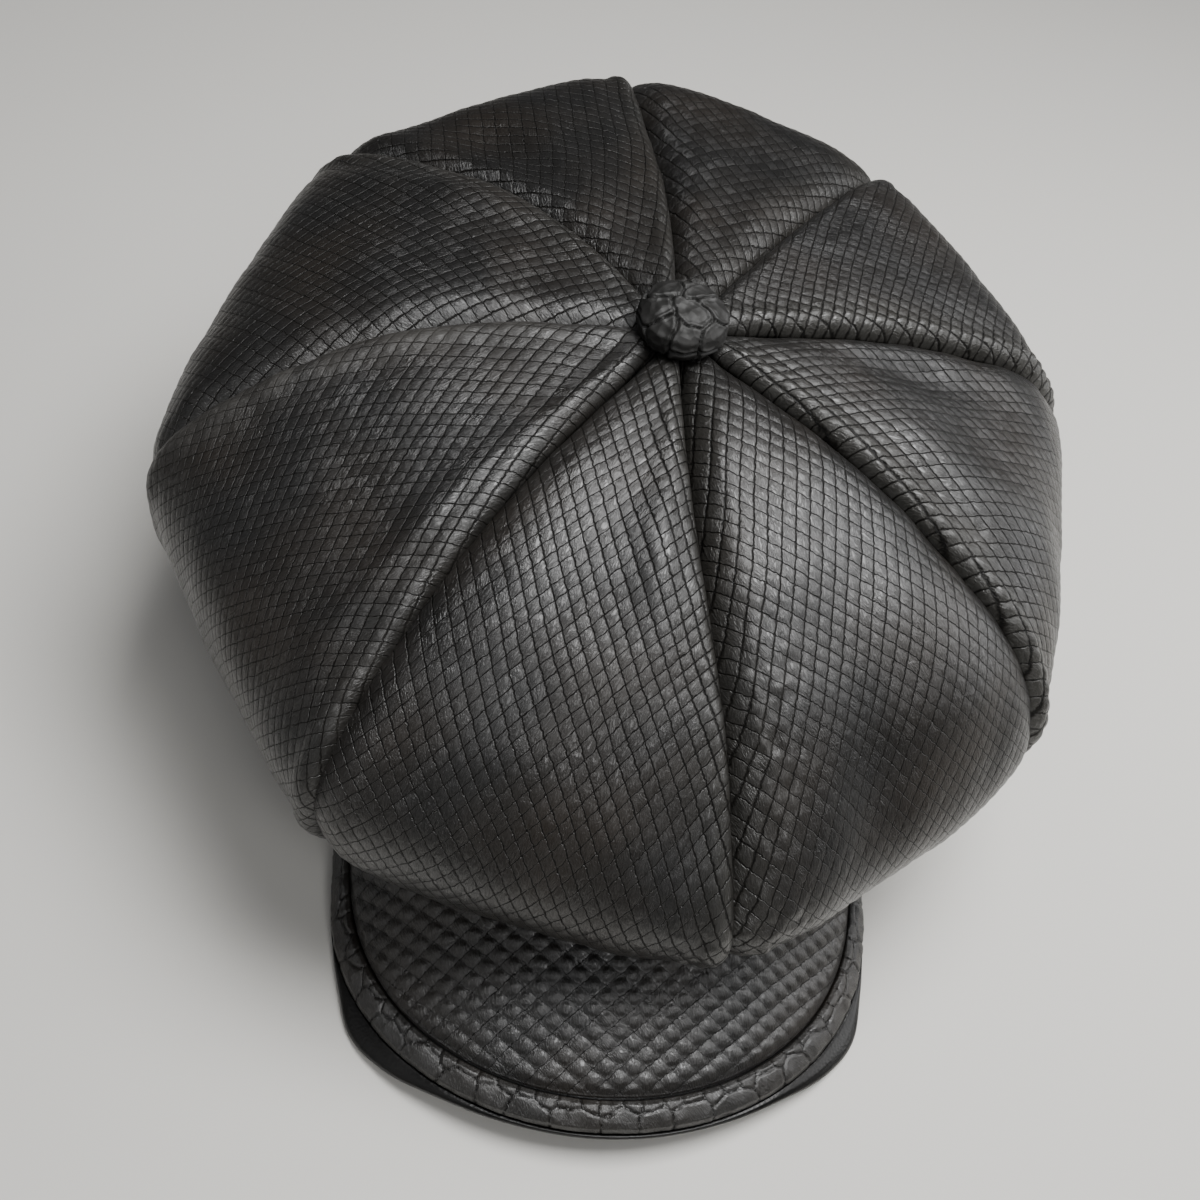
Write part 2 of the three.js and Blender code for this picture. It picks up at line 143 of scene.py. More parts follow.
SEAMS = (
    Seam(angle=8.5, shoulder=(123, 88), waist=(147, 62), under=(130, 45), lift=2, bow=-6, roll=3.8),
    Seam(angle=52, shoulder=(131, 98), waist=(142, 77), under=(128, 52), lift=3, bow=2, roll=2.6),
    Seam(angle=98, shoulder=(126, 116), waist=(137, 98), under=(126, 64), lift=2, bow=2, roll=2.4),
    Seam(angle=140, shoulder=(126, 130), waist=(137, 115), under=(126, 72), lift=2, bow=1, roll=2.2),
    Seam(angle=181, shoulder=(131, 136), waist=(141, 118), under=(128, 74), lift=2, bow=-7, roll=2.8),
    Seam(angle=227, shoulder=(129, 125), waist=(138, 108), under=(126, 68), lift=5, bow=-17, roll=3.4),
    Seam(angle=279, shoulder=(135, 106), waist=(142, 90), under=(129, 58), lift=6, bow=-13, roll=2.0),
    Seam(angle=323, shoulder=(138, 92), waist=(147, 74), under=(131, 50), lift=3, bow=-2, roll=2.8),
)
# The side of each seam whose panel edge is rolled over the other: SECOND is the panel that
# starts at this seam
PROUD = (
    Side.FIRST,
    Side.SECOND,
    Side.SECOND,
    Side.FIRST,
    Side.SECOND,
    Side.SECOND,
    Side.SECOND,
    Side.FIRST,
)
FULLNESS = (1.1, 0.7, 0.9, 0.9, 0.9, 0.9, 0.35, 1.05)
FOLDS = (
    Fold(panel=0, across=0.42, run=0.64, wide=0.1, long=0.12, rise=-2.5),
    Fold(panel=0, across=0.7, run=0.55, wide=0.16, long=0.12, rise=2),
    Fold(panel=1, across=0.78, run=0.36, wide=0.13, long=0.13, rise=-4.5),
    Fold(panel=1, across=0.35, run=0.45, wide=0.15, long=0.16, rise=2.5),
    Fold(panel=4, across=0.72, run=0.45, wide=0.14, long=0.14, rise=-4),
    Fold(panel=5, across=0.14, run=0.34, wide=0.1, long=0.16, rise=3),
    Fold(panel=6, across=0.85, run=0.38, wide=0.1, long=0.22, rise=2.5),
    Fold(panel=7, across=0.8, run=0.32, wide=0.12, long=0.14, rise=2.5),
)
SKINS = (
    Skin(fine=3.5, broad=3.6, right=37, left=31, grow=0.5, pad=1.2, seed=1.3, left_wide=True),
    Skin(fine=3.3, broad=3.6, right=30, left=28, grow=0.8, pad=4.2, seed=2.7, left_wide=True),
    Skin(fine=3.2, broad=3.4, right=42, left=42, grow=0.8, pad=4.0, seed=3.1),
    Skin(fine=4.3, broad=3.4, right=45, left=45, grow=0.1, pad=0.6, seed=4.9),
    Skin(fine=3.7, broad=3.9, right=46, left=30, grow=0.1, pad=0.6, seed=5.3),
    Skin(fine=3.6, broad=3.9, right=49, left=34, grow=0.2, pad=0.8, seed=6.1),
    Skin(fine=4.2, broad=2.9, right=31, left=33, grow=-0.2, pad=0.5, seed=7.7),
    Skin(fine=3.2, broad=3.8, right=29, left=38, grow=-0.45, pad=1.3, seed=8.2),
)
# Side.FIRST is the seam that a panel starts at, going round from the front towards +X
RUBS = (
    Rub(panel=6, side=Side.FIRST, away=2, along=70, wide=7, long=50, wear=0.9, crumple=0.35),
    Rub(panel=6, side=Side.FIRST, away=1, along=125, wide=10, long=25, wear=0.6, crumple=0.6),
    Rub(panel=6, side=Side.SECOND, away=3, along=122, wide=5, long=22, wear=0.2, crumple=0.6),
    Rub(panel=5, side=Side.FIRST, away=1, along=90, wide=5, long=45, wear=0.5, crumple=0.25),
    Rub(panel=0, side=Side.FIRST, away=10, along=112, wide=11, long=30, wear=0.25, crumple=0.9),
    Rub(panel=0, side=Side.FIRST, away=8, along=165, wide=14, long=22, wear=0.1, crumple=1.3),
    Rub(panel=1, side=Side.FIRST, away=11, along=92, wide=6, long=9, wear=0.5, crumple=0.8),
    Rub(panel=7, side=Side.SECOND, away=8, along=172, wide=12, long=16, wear=0.1, crumple=1.0),
    Rub(panel=7, side=Side.FIRST, away=3, along=40, wide=5, long=30, wear=0.3, crumple=0.3),
)


def through(places: Sequence[float], values: Sequence[float], at: np.ndarray) -> np.ndarray:
    """The smooth curve through a table's values.

    Args:
        places: where the values stand, rising.
        values: the values there.
        at: where to read the curve.

    Returns:
        The curve's value at each place asked for.
    """
    x = np.asarray(places, float)
    y = np.asarray(values, float)
    step = np.diff(x)
    rise = np.diff(y) / step
    slope = np.empty_like(y)
    slope[1:-1] = (rise[:-1] * step[1:] + rise[1:] * step[:-1]) / (step[:-1] + step[1:])
    slope[0] = 1.5 * rise[0] - 0.5 * slope[1]
    slope[-1] = 1.5 * rise[-1] - 0.5 * slope[-2]
    i = np.clip(np.searchsorted(x, at, side="right") - 1, 0, len(x) - 2)
    u = (at - x[i]) / step[i]
    return (
        (2 * u**3 - 3 * u**2 + 1) * y[i]
        + (u**3 - 2 * u**2 + u) * step[i] * slope[i]
        + (3 * u**2 - 2 * u**3) * y[i + 1]
        + (u**3 - u**2) * step[i] * slope[i + 1]
    )


def smooth_step(value: np.ndarray, low: float, high: float) -> np.ndarray:
    """0 below low, 1 above high, and an even curve between."""
    t = np.clip((value - low) / (high - low), 0, 1)
    return t * t * (3 - 2 * t)


def unit(vectors: np.ndarray) -> np.ndarray:
    """The vectors at length one."""
    return vectors / np.maximum(np.linalg.norm(vectors, axis=-1, keepdims=True), 1e-9)


def waves(u: np.ndarray, v: np.ndarray, size: float, seed: float) -> np.ndarray:
    """Soft repeatable unevenness between about -1 and 1, with bumps of about the given size.

    Args:
        u: places one way.
        v: places the other way.
        size: size of the bumps.
        seed: picks the pattern.

    Returns:
        The unevenness at each place.
    """
    k = 2 * math.pi / size
    first = np.sin(k * (0.61 * u + 0.37 * v) + 5.1 * seed)
    second = np.sin(k * (-0.33 * u + 0.71 * v) + 2.3 * seed)
    third = np.sin(k * (0.92 * u - 0.18 * v) + 7.7 * seed + first)
    return (first + second + third) / 3


@dataclass(frozen=True)
class CapFrame:
    """The headband's ellipse and tilt, and the shift from the band's middle to the origin."""

    half_width: float = 86
    half_length: float = 101
    height: float = 32
    tilt: float = math.radians(8.5)
    gap: float = 0.3

    def on_band(self, x: np.ndarray, y: np.ndarray, height: np.ndarray) -> np.ndarray:
        """Points given in the band's own tilted frame.

        Args:
            x: places to the wearer's left.
            y: places to the back.
            height: heights over the band's foot.

        Returns:
            The points.
        """
        c = math.cos(self.tilt)
        s = math.sin(self.tilt)
        up = (self.half_length - y) * s + height * c
        return np.stack([x + 0 * y, y * c + height * s, up], -1)

    def outline(
        self, angle: np.ndarray, grow: np.ndarray | float, height: np.ndarray | float
    ) -> np.ndarray:
        """The band's outline grown by a margin, at angles from the front towards +X.

        Args:
            angle: the angles in radians.
            grow: the margin.
            height: heights over the band's foot.

        Returns:
            Points of the outline.
        """
        x = (self.half_width + grow) * np.sin(angle)
        y = -(self.half_length + grow) * np.cos(angle)
        return self.on_band(x, y, height + 0 * angle)

    def shift(self) -> np.ndarray:
        """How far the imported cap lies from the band's middle, read from its headband.

        Returns:
            The shift in mm.
        """
        ring = np.linspace(0, 2 * math.pi, 73)
        points = np.concatenate([self.outline(ring, 0, 0.0), self.outline(ring, 0, self.height)])
        low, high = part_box("headband")
        packed = np.array([low[i] + high[i] for i in range(3)]) / 2 / METRE
        return packed - (points.min(0) + points.max(0)) / 2


FRAME = CapFrame()
# The panels have no width at the very start of their run, so they are measured from here on
FIRST_RUN = 0.01


@dataclass(frozen=True)
class CrownShape:
    """The crown's surface as a function of the place across a panel and along its run."""

    middle: tuple[float, float] = (3, 20)
    top: tuple[float, float, float] = (7.3, 20, 138.5)
    stations: tuple[float, ...] = (0, 0.16, 0.4, 0.6, 0.72, 0.86, 1)
    inner: tuple[float, float] = (0.3, 0.16)
    mid: tuple[float, float] = (0.7, 0.54)
    puff: tuple[float, ...] = (0.2, 2.6, 5.5, 6, 5, 3.5, 0)
    round: tuple[float, ...] = (0.9, 0.5, 0.1, 0.05, 0.05, 0.45, 1)
    puff_power: float = 4
    middle_places: tuple[float, ...] = (0, 0.6, 0.8, 1)
    bow_end: float = 0.62
    settle: tuple[float, float] = (0.84, 1)
    step: float = 0.004

    def middle_at(self, run: np.ndarray) -> tuple[np.ndarray, np.ndarray]:
        """The middle that the seams run round.

        Args:
            run: places along the seams.

        Returns:
            Its x and its y.
        """
        ways = [[self.top[i], self.middle[i], 0.7 * self.middle[i], 0] for i in (0, 1)]
        return through(self.middle_places, ways[0], run), through(self.middle_places, ways[1], run)

    def hem(self, angle: np.ndarray) -> np.ndarray:
        """Where the hem meets the band's top for a direction in plan.

        Args:
            angle: directions in radians.

        Returns:
            Points of the hem.
        """
        across = np.sin(angle) / FRAME.half_width
        ahead = np.cos(angle) / FRAME.half_length
        return FRAME.outline(np.arctan2(across, ahead), -0.2, FRAME.height + FRAME.gap)

    def profile(self, seam: Seam, run: np.ndarray) -> tuple[np.ndarray, np.ndarray]:
        """Radius and height of a seam along its run.

        Args:
            seam: the seam.
            run: places along it, from 0 at the button to 1 at the band.

        Returns:
            The radii and the heights.
        """
        hem = self.hem(np.array([math.radians(seam.angle)]))[0]
        radius, height = seam.shoulder
        top = self.top[2]
        drop = height - top
        radii = [0, self.inner[0] * radius, self.mid[0] * radius, radius]
        radii += [seam.waist[0], seam.under[0], math.hypot(hem[0], hem[1])]
        heights = [top, top + self.inner[1] * drop + 0.5 * seam.lift]
        heights += [top + self.mid[1] * drop + seam.lift, height, seam.waist[1], seam.under[1], hem[2]]
        return through(self.stations, radii, run), through(self.stations, heights, run)

    def direction(self, seam: Seam, run: np.ndarray) -> np.ndarray:
        """The seam's direction in radians, bowed near the button."""
        return np.radians(seam.angle + seam.bow * (1 - smooth_step(run, 0, self.bow_end)))

    def seam_point(self, index: int, run: np.ndarray) -> np.ndarray:
        """Points of a seam.

        Args:
            index: the seam's place in the table.
            run: places along it.

        Returns:
            The points.
        """
        seam = SEAMS[index % len(SEAMS)]
        angle = self.direction(seam, run)
        r, z = self.profile(seam, run)
        x, y = self.middle_at(run)
        return np.stack([x + r * np.sin(angle), y - r * np.cos(angle), z], -1)

    def face(self, index: int, across: np.ndarray, run: np.ndarray) -> np.ndarray:
        """Points of a panel before it swells.

        Args:
            index: the panel.
            across: places across the panel, from 0 to 1.
            run: places along its run, from 0 to 1.

        Returns:
            The points.
        """
        first = SEAMS[index]
        second = SEAMS[(index + 1) % len(SEAMS)]
        start = self.direction(first, run)
        turn = (self.direction(second, run) - start) % (2 * math.pi)
        angle = start + turn * across
        share = across[..., None]
        chord = self.seam_point(index, run) * (1 - share) + self.seam_point(index + 1, run) * share
        radius = self.profile(first, run)[0] * (1 - across) + self.profile(second, run)[0] * across
        x, y = self.middle_at(run)
        arc = np.stack([x + radius * np.sin(angle), y - radius * np.cos(angle), chord[..., 2]], -1)
        point = chord + (arc - chord) * through(self.stations, self.round, run)[..., None]
        settle = smooth_step(run, *self.settle)[..., None] ** 2
        return point + (self.hem(angle) - point) * settle

    def face_normal(self, index: int, across: np.ndarray, run: np.ndarray) -> np.ndarray:
        """Outward normals of a panel before it swells.

        Args:
            index: the panel.
            across: places across the panel, from 0 to 1.
            run: places along its run, from 0 to 1.

        Returns:
            The normals.
        """
        wide = self.face(index, np.minimum(across + self.step, 1), run)
        wide = wide - self.face(index, np.maximum(across - self.step, 0), run)
        down = self.face(index, across, np.minimum(run + self.step, 1))
        down = down - self.face(index, across, np.maximum(run - self.step, FIRST_RUN))
        return unit(np.cross(down, wide))

    def swollen(self, index: int, across: np.ndarray, run: np.ndarray) -> np.ndarray:
        """Points of a panel with its swell and its folds.

        Args:
            index: the panel.
            across: places across the panel, from 0 to 1.
            run: places along its run, from 0 to 1.

        Returns:
            The points.
        """
        rise = FULLNESS[index] * through(self.stations, self.puff, run)
        rise = rise * (1 - np.abs(2 * across - 1) ** self.puff_power)
        edge = np.minimum(1, np.minimum(6 * across, 6 * (1 - across)))
        for fold in FOLDS:
            if fold.panel == index:
                u = (across - fold.across) / fold.wide
                v = (run - fold.run) / fold.long
                rise = rise + fold.rise * np.exp(-u * u - v * v) * edge
        return self.face(index, across, run) + self.face_normal(index, across, run) * rise[..., None]


CROWN = CrownShape()


@dataclass(frozen=True)
class PeakShape:
    """The peak's middle surface, from the headband's foot to its outer edge."""

    half_width: float = 80.5
    reach: float = 158.5
    bend_y: float = 88
    tip: tuple[float, float] = (86, 37)
    root_span: float = math.radians(71)
    root_height: float = 5
    bend_share: float = 0.8
    places: tuple[float, ...] = (0, 0.3, 0.55, 0.8, 1)
    edge_z: tuple[float, ...] = (10.5, 8.4, 4.5, 5.5, 21)
    fall: tuple[float, ...] = (24, 25, 27, 38, 45)
    fall_run: tuple[float, ...] = (22, 20, 15, 9, 2)
    lip_places: tuple[float, ...] = (0, 0.2, 0.32, 0.42, 0.52, 0.6, 0.68, 1)
    lip_width: tuple[float, ...] = (1.7, 2, 3.4, 6, 6.8, 3.4, 1.2, 0.9)
    border: float = 9
    samples: int = 24
    step: float = 0.01

    def edge(self, share: np.ndarray) -> np.ndarray:
        """The outer edge, for shares from -1 at one tip over 0 in front to 1 at the other.

        Args:
            share: the shares.

        Returns:
            Points of the edge.
        """
        side = np.sign(share)
        size = np.abs(share)
        z = through(self.places, self.edge_z, size)
        turn = (math.pi / 2) * np.minimum(size / self.bend_share, 1)
        rest = np.maximum((size - self.bend_share) / (1 - self.bend_share), 0)
        x = self.half_width * np.sin(turn) + (self.tip[0] - self.half_width) * rest**2
        y = self.bend_y + (self.reach - self.bend_y) * np.cos(turn) + (self.tip[1] - self.bend_y) * rest
        return np.stack([side * x, -y, z], -1)

    def root(self, share: np.ndarray) -> np.ndarray:
        """Where the peak meets the headband."""
        return FRAME.outline(share * self.root_span, 0.5, self.root_height)

    def middle(self, share: np.ndarray, along: np.ndarray) -> np.ndarray:
        """Points of the middle surface: along is 0 at the headband and 1 at the edge.

        Args:
            share: from -1 at one tip over 0 in front to 1 at the other.
            along: from the headband to the edge.

        Returns:
            The points.
        """
        size = np.abs(share)
        root = self.root(share)
        edge = self.edge(share)
        fall = np.radians(through(self.places, self.fall, size))
        run = through(self.places, self.fall_run, size)
        tangent = self.edge(np.minimum(share + self.step, 1))
        tangent = tangent - self.edge(np.maximum(share - self.step, -1))
        inward = unit(np.stack([-tangent[..., 1], tangent[..., 0], 0 * run], -1))
        late = edge + inward * run[..., None]
        late[..., 2] += run * np.tan(fall)
        early = (root + late) / 2
        t = along[..., None]
        s = 1 - t
        return root * s**3 + 3 * early * s * s * t + 3 * late * s * t * t + edge * t**3

    def frame_at(self, share: np.ndarray, along: np.ndarray) -> tuple[np.ndarray, np.ndarray]:
        """The ways out along the middle surface and up from it.

        Args:
            share: from -1 at one tip over 0 in front to 1 at the other.
            along: 0 at the headband and 1 at the edge.

        Returns:
            Unit vectors outwards and upwards.
        """
        step = self.step
        out = self.middle(share, np.minimum(along + step, 1))
        out = out - self.middle(share, np.maximum(along - step, 0))
        across = self.middle(np.minimum(share + step, 1), along)
        across = across - self.middle(np.maximum(share - step, -1), along)
        up = unit(np.cross(out, across))
        up = up * np.where(up[..., 2:] < 0, -1, 1)
        return unit(out), up

    def lengths(self, share: np.ndarray) -> np.ndarray:
        """Distances along each line of the peak, at even steps from the headband to the edge.

        Args:
            share: from -1 at one tip over 0 in front to 1 at the other.

        Returns:
            The distances.
        """
        steps = np.arange(self.samples + 1) / self.samples
        shares = np.repeat(share[..., None], len(steps), -1)
        grid = self.middle(shares, np.broadcast_to(steps, shares.shape))
        pieces = np.linalg.norm(np.diff(grid, axis=-2), axis=-1)
        return np.concatenate([np.zeros(share.shape + (1,)), np.cumsum(pieces, -1)], -1)

    def place(self, share: np.ndarray, distance: np.ndarray, height: np.ndarray) -> np.ndarray:
        """Points at a distance from the headband and a height over the middle surface.

        Args:
            share: from -1 at one tip over 0 in front to 1 at the other.
            distance: distances from the headband.
            height: heights over the middle surface.

        Returns:
            The points.
        """
        table = self.lengths(share)
        inside = np.clip(distance, 0, table[..., -1])
        i = np.clip((table < inside[..., None]).sum(-1) - 1, 0, self.samples - 1)
        low = np.take_along_axis(table, i[..., None], -1)[..., 0]
        high = np.take_along_axis(table, i[..., None] + 1, -1)[..., 0]
        along = (i + (inside - low) / np.maximum(high - low, 1e-9)) / self.samples
        out, up = self.frame_at(share, along)
        over = (distance - inside)[..., None]
        return self.middle(share, along) + out * over + up * np.asarray(height)[..., None]

    def start(self, share: np.ndarray, height: np.ndarray) -> np.ndarray:
        """The distance at which a point of that height just touches the headband.

        Args:
            share: from -1 at one tip over 0 in front to 1 at the other.
            height: heights over the middle surface.

        Returns:
            The distances.
        """
        angle = share * self.root_span
        away = [np.sin(angle) / FRAME.half_width, -np.cos(angle) / FRAME.half_length, 0 * angle]
        away = unit(np.stack(away, -1))
        out, up = self.frame_at(share, 0 * share)
        return -height * (up * away).sum(-1) / (out * away).sum(-1)

    def lip(self, share: np.ndarray) -> np.ndarray:
        """How far the underside shows past the border."""
        return through(self.lip_places, self.lip_width, np.abs(share))


PEAK = PeakShape()


def linear(code: str) -> tuple[float, float, float, float]:
    """A linear colour from an sRGB hex code such as "#1a1a18"."""
    values = [int(code[i : i + 2], 16) / 255 for i in (1, 3, 5)]
    return (*[v / 12.92 if v <= 0.04045 else ((v + 0.055) / 1.055) ** 2.4 for v in values], 1.0)


def add(
    tree: bpy.types.NodeTree,
    kind: str,
    inputs: dict[str | int, object] | None = None,
    out: str | int = 0,
    **settings: object,
) -> bpy.types.NodeSocket:
    """Adds a node.

    Args:
        tree: the material's nodes.
        kind: the node's type, without ShaderNode.
        inputs: for each input, a value or the output that feeds it.
        out: which output is wanted.
        settings: properties of the node.

    Returns:
        That output.
    """
    node = tree.nodes.new("ShaderNode" + kind)
    for name, value in settings.items():
        setattr(node, name, value)
    for name, value in (inputs or {}).items():
        if isinstance(value, bpy.types.NodeSocket):
            tree.links.new(value, node.inputs[name])
        else:
            node.inputs[name].default_value = value
    return node.outputs[out]


def new_material(name: str, **shading: float | tuple) -> tuple[bpy.types.Material, bpy.types.Node]:
    """Makes an empty material.

    Args:
        name: the material's name.
        shading: values of the surface shader's inputs, with _ for the spaces in their names.

    Returns:
        The material and its surface shader.
    """
    material = bpy.data.materials.new(name)
    material.use_nodes = True
    shader = material.node_tree.nodes["Principled BSDF"]
    for key, value in shading.items():
        shader.inputs[key.replace("_", " ")].default_value = value
    return material, shader


def feed(shader: bpy.types.Node, outputs: dict[str, bpy.types.NodeSocket]) -> None:
    """Links each output to the surface shader's input of that name."""
    for name, output in outputs.items():
        shader.id_data.links.new(output, shader.inputs[name])


@dataclass(frozen=True)
class ScaledLeather:
    """Glazed snakeskin, dyed black: thin hard scales with soft skin between them.

    The glaze gives each scale a satin shine. The skin between the scales is duller, and its colour
    is darker as painted shade in the grooves; the scales' rims are a little paler, and fine creases
    from tanning run over everything. Worn leather is paler, and raised leather is coloured paler
    as a painted highlight.

    The patterns are counted per mm of skin: the grooves waver every 1.8 mm, the creases are
    0.8 mm apart and 3 mm long, the gloss changes over 11 mm, and the patches of painted warm
    reflection are some 45 mm wide. groove and padded_groove are the soft skin's share of a scale,
    and relief is the depth of the grooves and creases in metres.
    """

    name: str = "glazed_snakeskin"
    scale_colour: str = "#0f0e0d"
    # Painted reflection: a warm brown mixed into the scales in patches, standing in for a warm light's
    # reflection
    warm_reflection_colour: str = "#1b1611"
    # Painted shade: the grooves are coloured darker than the scales, standing in for the shade in them
    groove_shade_colour: str = "#040404"
    # Painted highlight: raised leather beside the seams is coloured paler, standing in for the light on it
    pad_highlight_colour: str = "#2a2926"
    rim_colour: str = "#45423e"
    worn_colour: str = "#2c2a27"
    rim: float = 0.15
    roughness: float = 0.34
    rub_roughness: float = 0.35
    coat_roughness: float = 0.42
    groove: float = 0.1
    padded_groove: float = 0.2
    thin_groove: float = 1.8
    corner: float = 0.14
    wobble: float = 0.3
    wobbles_per_mm: float = 0.55
    crease: float = 3.2
    crease_top: float = 0.12
    creases_per_mm: tuple[float, float, float] = (1.3, 0.3, 1)
    crease_turn: tuple[float, float] = (0.8, -0.2)
    spots_per_mm: float = 0.09
    reflection_patches_per_mm: float = 0.022
    uneven_gloss: float = 0.03
    relief: float = 0.00026
    coat: float = 0.32
    dull: float = 0.16
    shine: float = 0.55

    def groove_distance(
        self, tree: bpy.types.NodeTree, place: bpy.types.NodeSocket
    ) -> bpy.types.NodeSocket:
        """How far a point is from the nearest groove.

        Args:
            tree: the material's nodes.
            place: the point in scale coordinates, whose whole numbers are the grooves.

        Returns:
            The distance, from 0 in a groove to about a half in a scale's middle.
        """
        split = add(tree, "SeparateXYZ", {0: place}).node
        sides = []
        for axis in ("X", "Y"):
            part = add(tree, "Math", {0: split.outputs[axis]}, operation="FRACT")
            middle = add(tree, "Math", {0: part, 1: 0.5}, operation="SUBTRACT")
            away = add(tree, "Math", {0: middle}, operation="ABSOLUTE")
            sides.append(add(tree, "Math", {0: 0.5, 1: away}, operation="SUBTRACT"))
        thinner = add(tree, "Math", {0: sides[1], 1: self.thin_groove}, operation="MULTIPLY")
        return add(tree, "Math", {0: sides[0], 1: thinner, 2: self.corner}, operation="SMOOTH_MIN")

    def creases(
        self, tree: bpy.types.NodeTree, skin: bpy.types.NodeSocket, chance: bpy.types.Node
    ) -> bpy.types.NodeSocket:
        """Fine creases that run another way on every scale.

        Args:
            tree: the material's nodes.
            skin: the place on the skin in mm.
            chance: the node that gives each scale its own value and colour.

        Returns:
            The height, 0 in a crease and crease_top beside it.
        """
        apart = add(
            tree,
            "VectorMath",
            {0: chance.outputs["Color"], 1: (7.0, 7.0, 7.0), 2: skin},
            operation="MULTIPLY_ADD",
        )
        turn, start = self.crease_turn
        angle = add(tree, "Math", {0: chance.outputs["Value"], 1: turn, 2: start}, operation="MULTIPLY_ADD")
        turned = add(tree, "VectorRotate", {"Vector": apart, "Angle": angle}, rotation_type="Z_AXIS")
        along = add(tree, "Mapping", {"Vector": turned, "Scale": self.creases_per_mm})
        noise = add(tree, "TexNoise", {"Vector": along, "Scale": 1.0, "Detail": 3.0, "Roughness": 0.6})
        level = add(tree, "Math", {0: noise, 1: 0.5}, operation="SUBTRACT")
        fold = add(tree, "Math", {0: level}, operation="ABSOLUTE")
        return add(tree, "Math", {0: fold, 1: self.crease_top}, operation="MINIMUM")

    def colour(
        self,
        tree: bpy.types.NodeTree,
        skin: bpy.types.NodeSocket,
        plate: bpy.types.NodeSocket,
        pad: bpy.types.NodeSocket,
        wear: bpy.types.NodeSocket,
    ) -> bpy.types.NodeSocket:
        """Mixes the colours of the black scales, the painted warm reflection, the painted shade in
        the grooves, the rims, the painted highlight on raised leather, and the worn leather.

        Args:
            tree: the material's nodes.
            skin: the place on the skin in mm, for the patches of painted warm reflection, some centimetres
                wide.
            plate: 1 on a scale and 0 in a groove.
            pad: how much the leather is raised, which colours it paler as a painted highlight.
            wear: how much it is worn.

        Returns:
            The colour.
        """
        # Painted reflection: noise patches some 45 mm wide tint the black scales brown, as the reflection
        # of a warm light
        region = add(tree, "TexNoise", {"Vector": skin, "Scale": self.reflection_patches_per_mm, "Detail": 2.0})
        warm_reflection_share = add(tree, "MapRange", {"Value": region, "From Min": 0.42, "From Max": 0.68})
        outside = add(tree, "Math", {0: 1.0, 1: plate}, operation="SUBTRACT")
        border = add(tree, "Math", {0: outside, 1: plate}, operation="MULTIPLY")
        rim = add(tree, "Math", {0: border, 1: 4 * self.rim}, operation="MULTIPLY")
        # Painted highlight: the raised scales are coloured paler, as if lit
        pad_highlight = add(tree, "Math", {0: pad, 1: plate}, operation="MULTIPLY")
        # dyed is the black dye with the painted warm reflection mixed in
        warm_reflection_mix = {"Factor": warm_reflection_share, "A": linear(self.scale_colour), "B": linear(self.warm_reflection_colour)}
        dyed = add(tree, "Mix", warm_reflection_mix, "Result", data_type="RGBA")
        # Painted shade: the grooves take a darker colour than the scales
        groove_shade_mix = {"Factor": plate, "A": linear(self.groove_shade_colour), "B": dyed}
        tone = add(tree, "Mix", groove_shade_mix, "Result", data_type="RGBA")
        for share, code in ((rim, self.rim_colour), (pad_highlight, self.pad_highlight_colour), (wear, self.worn_colour)):
            layer = {"Factor": share, "A": tone, "B": linear(code)}
            tone = add(tree, "Mix", layer, "Result", data_type="RGBA")
        return tone

    def build(self) -> bpy.types.Material:
        """Makes the material, which reads the UV maps lattice and skin and the shares wear and pad.

        Returns:
            The material.
        """
        material, shader = new_material(self.name, IOR=1.5, Coat_Roughness=self.coat_roughness)
        tree = material.node_tree
        lattice = add(tree, "UVMap", uv_map="lattice")
        skin = add(tree, "UVMap", uv_map="skin")
        wear = add(tree, "Attribute", out="Fac", attribute_name="wear")
        pad = add(tree, "Attribute", out="Fac", attribute_name="pad")
        sizes = {"Scale": self.wobbles_per_mm, "Detail": 2.0, "Roughness": 0.6}
        drift = add(tree, "TexNoise", {"Vector": skin, **sizes}, "Color")
        centred = add(tree, "VectorMath", {0: drift, 1: (0.5, 0.5, 0.5)}, operation="SUBTRACT")
        sway = (self.wobble, self.wobble, 0)
        bent = add(tree, "VectorMath", {0: centred, 1: sway, 2: lattice}, operation="MULTIPLY_ADD")
        near = self.groove_distance(tree, bent)
        wide = add(tree, "MapRange", {"Value": pad, "To Min": self.groove, "To Max": self.padded_groove})
        step = {"Value": near, "From Min": -0.01, "From Max": wide}
        plate = add(tree, "MapRange", step, interpolation_type="SMOOTHERSTEP")
        cell = add(tree, "VectorMath", {0: bent}, operation="FLOOR")
        chance = add(tree, "TexWhiteNoise", {"Vector": cell}, noise_dimensions="2D").node
        crinkle = self.creases(tree, skin, chance)
        filled = add(tree, "Math", {0: wear, 1: 0.8}, operation="MULTIPLY", use_clamp=True)
        flush = add(tree, "Mix", {"Factor": filled, "A": plate, "B": 1.0}, "Result", data_type="FLOAT")
        height = add(tree, "Math", {0: crinkle, 1: self.crease, 2: flush}, operation="MULTIPLY_ADD")
        smooth = add(tree, "MapRange", {"Value": crinkle, "From Max": 0.05, "To Min": 0.45, "To Max": 1.0})
        glazed = add(tree, "Math", {0: plate, 1: smooth}, operation="MULTIPLY")
        shine = {"Value": glazed, "From Min": 0.2, "To Min": self.dull, "To Max": self.shine}
        coat = {"Value": plate, "From Min": 0.3, "To Min": 0.0, "To Max": self.coat}
        spots = add(tree, "TexNoise", {"Vector": skin, "Scale": self.spots_per_mm, "Detail": 3.0})
        rough = {"To Min": self.roughness - 0.05, "To Max": self.roughness + 0.07, **NOISE_SPAN}
        uneven = add(tree, "MapRange", {"Value": spots, **rough})
        scatter = {0: chance.outputs["Value"], 1: -self.uneven_gloss, 2: uneven}
        glossier = add(tree, "Math", scatter, operation="MULTIPLY_ADD")
        rubbed = {0: wear, 1: self.rub_roughness, 2: glossier}
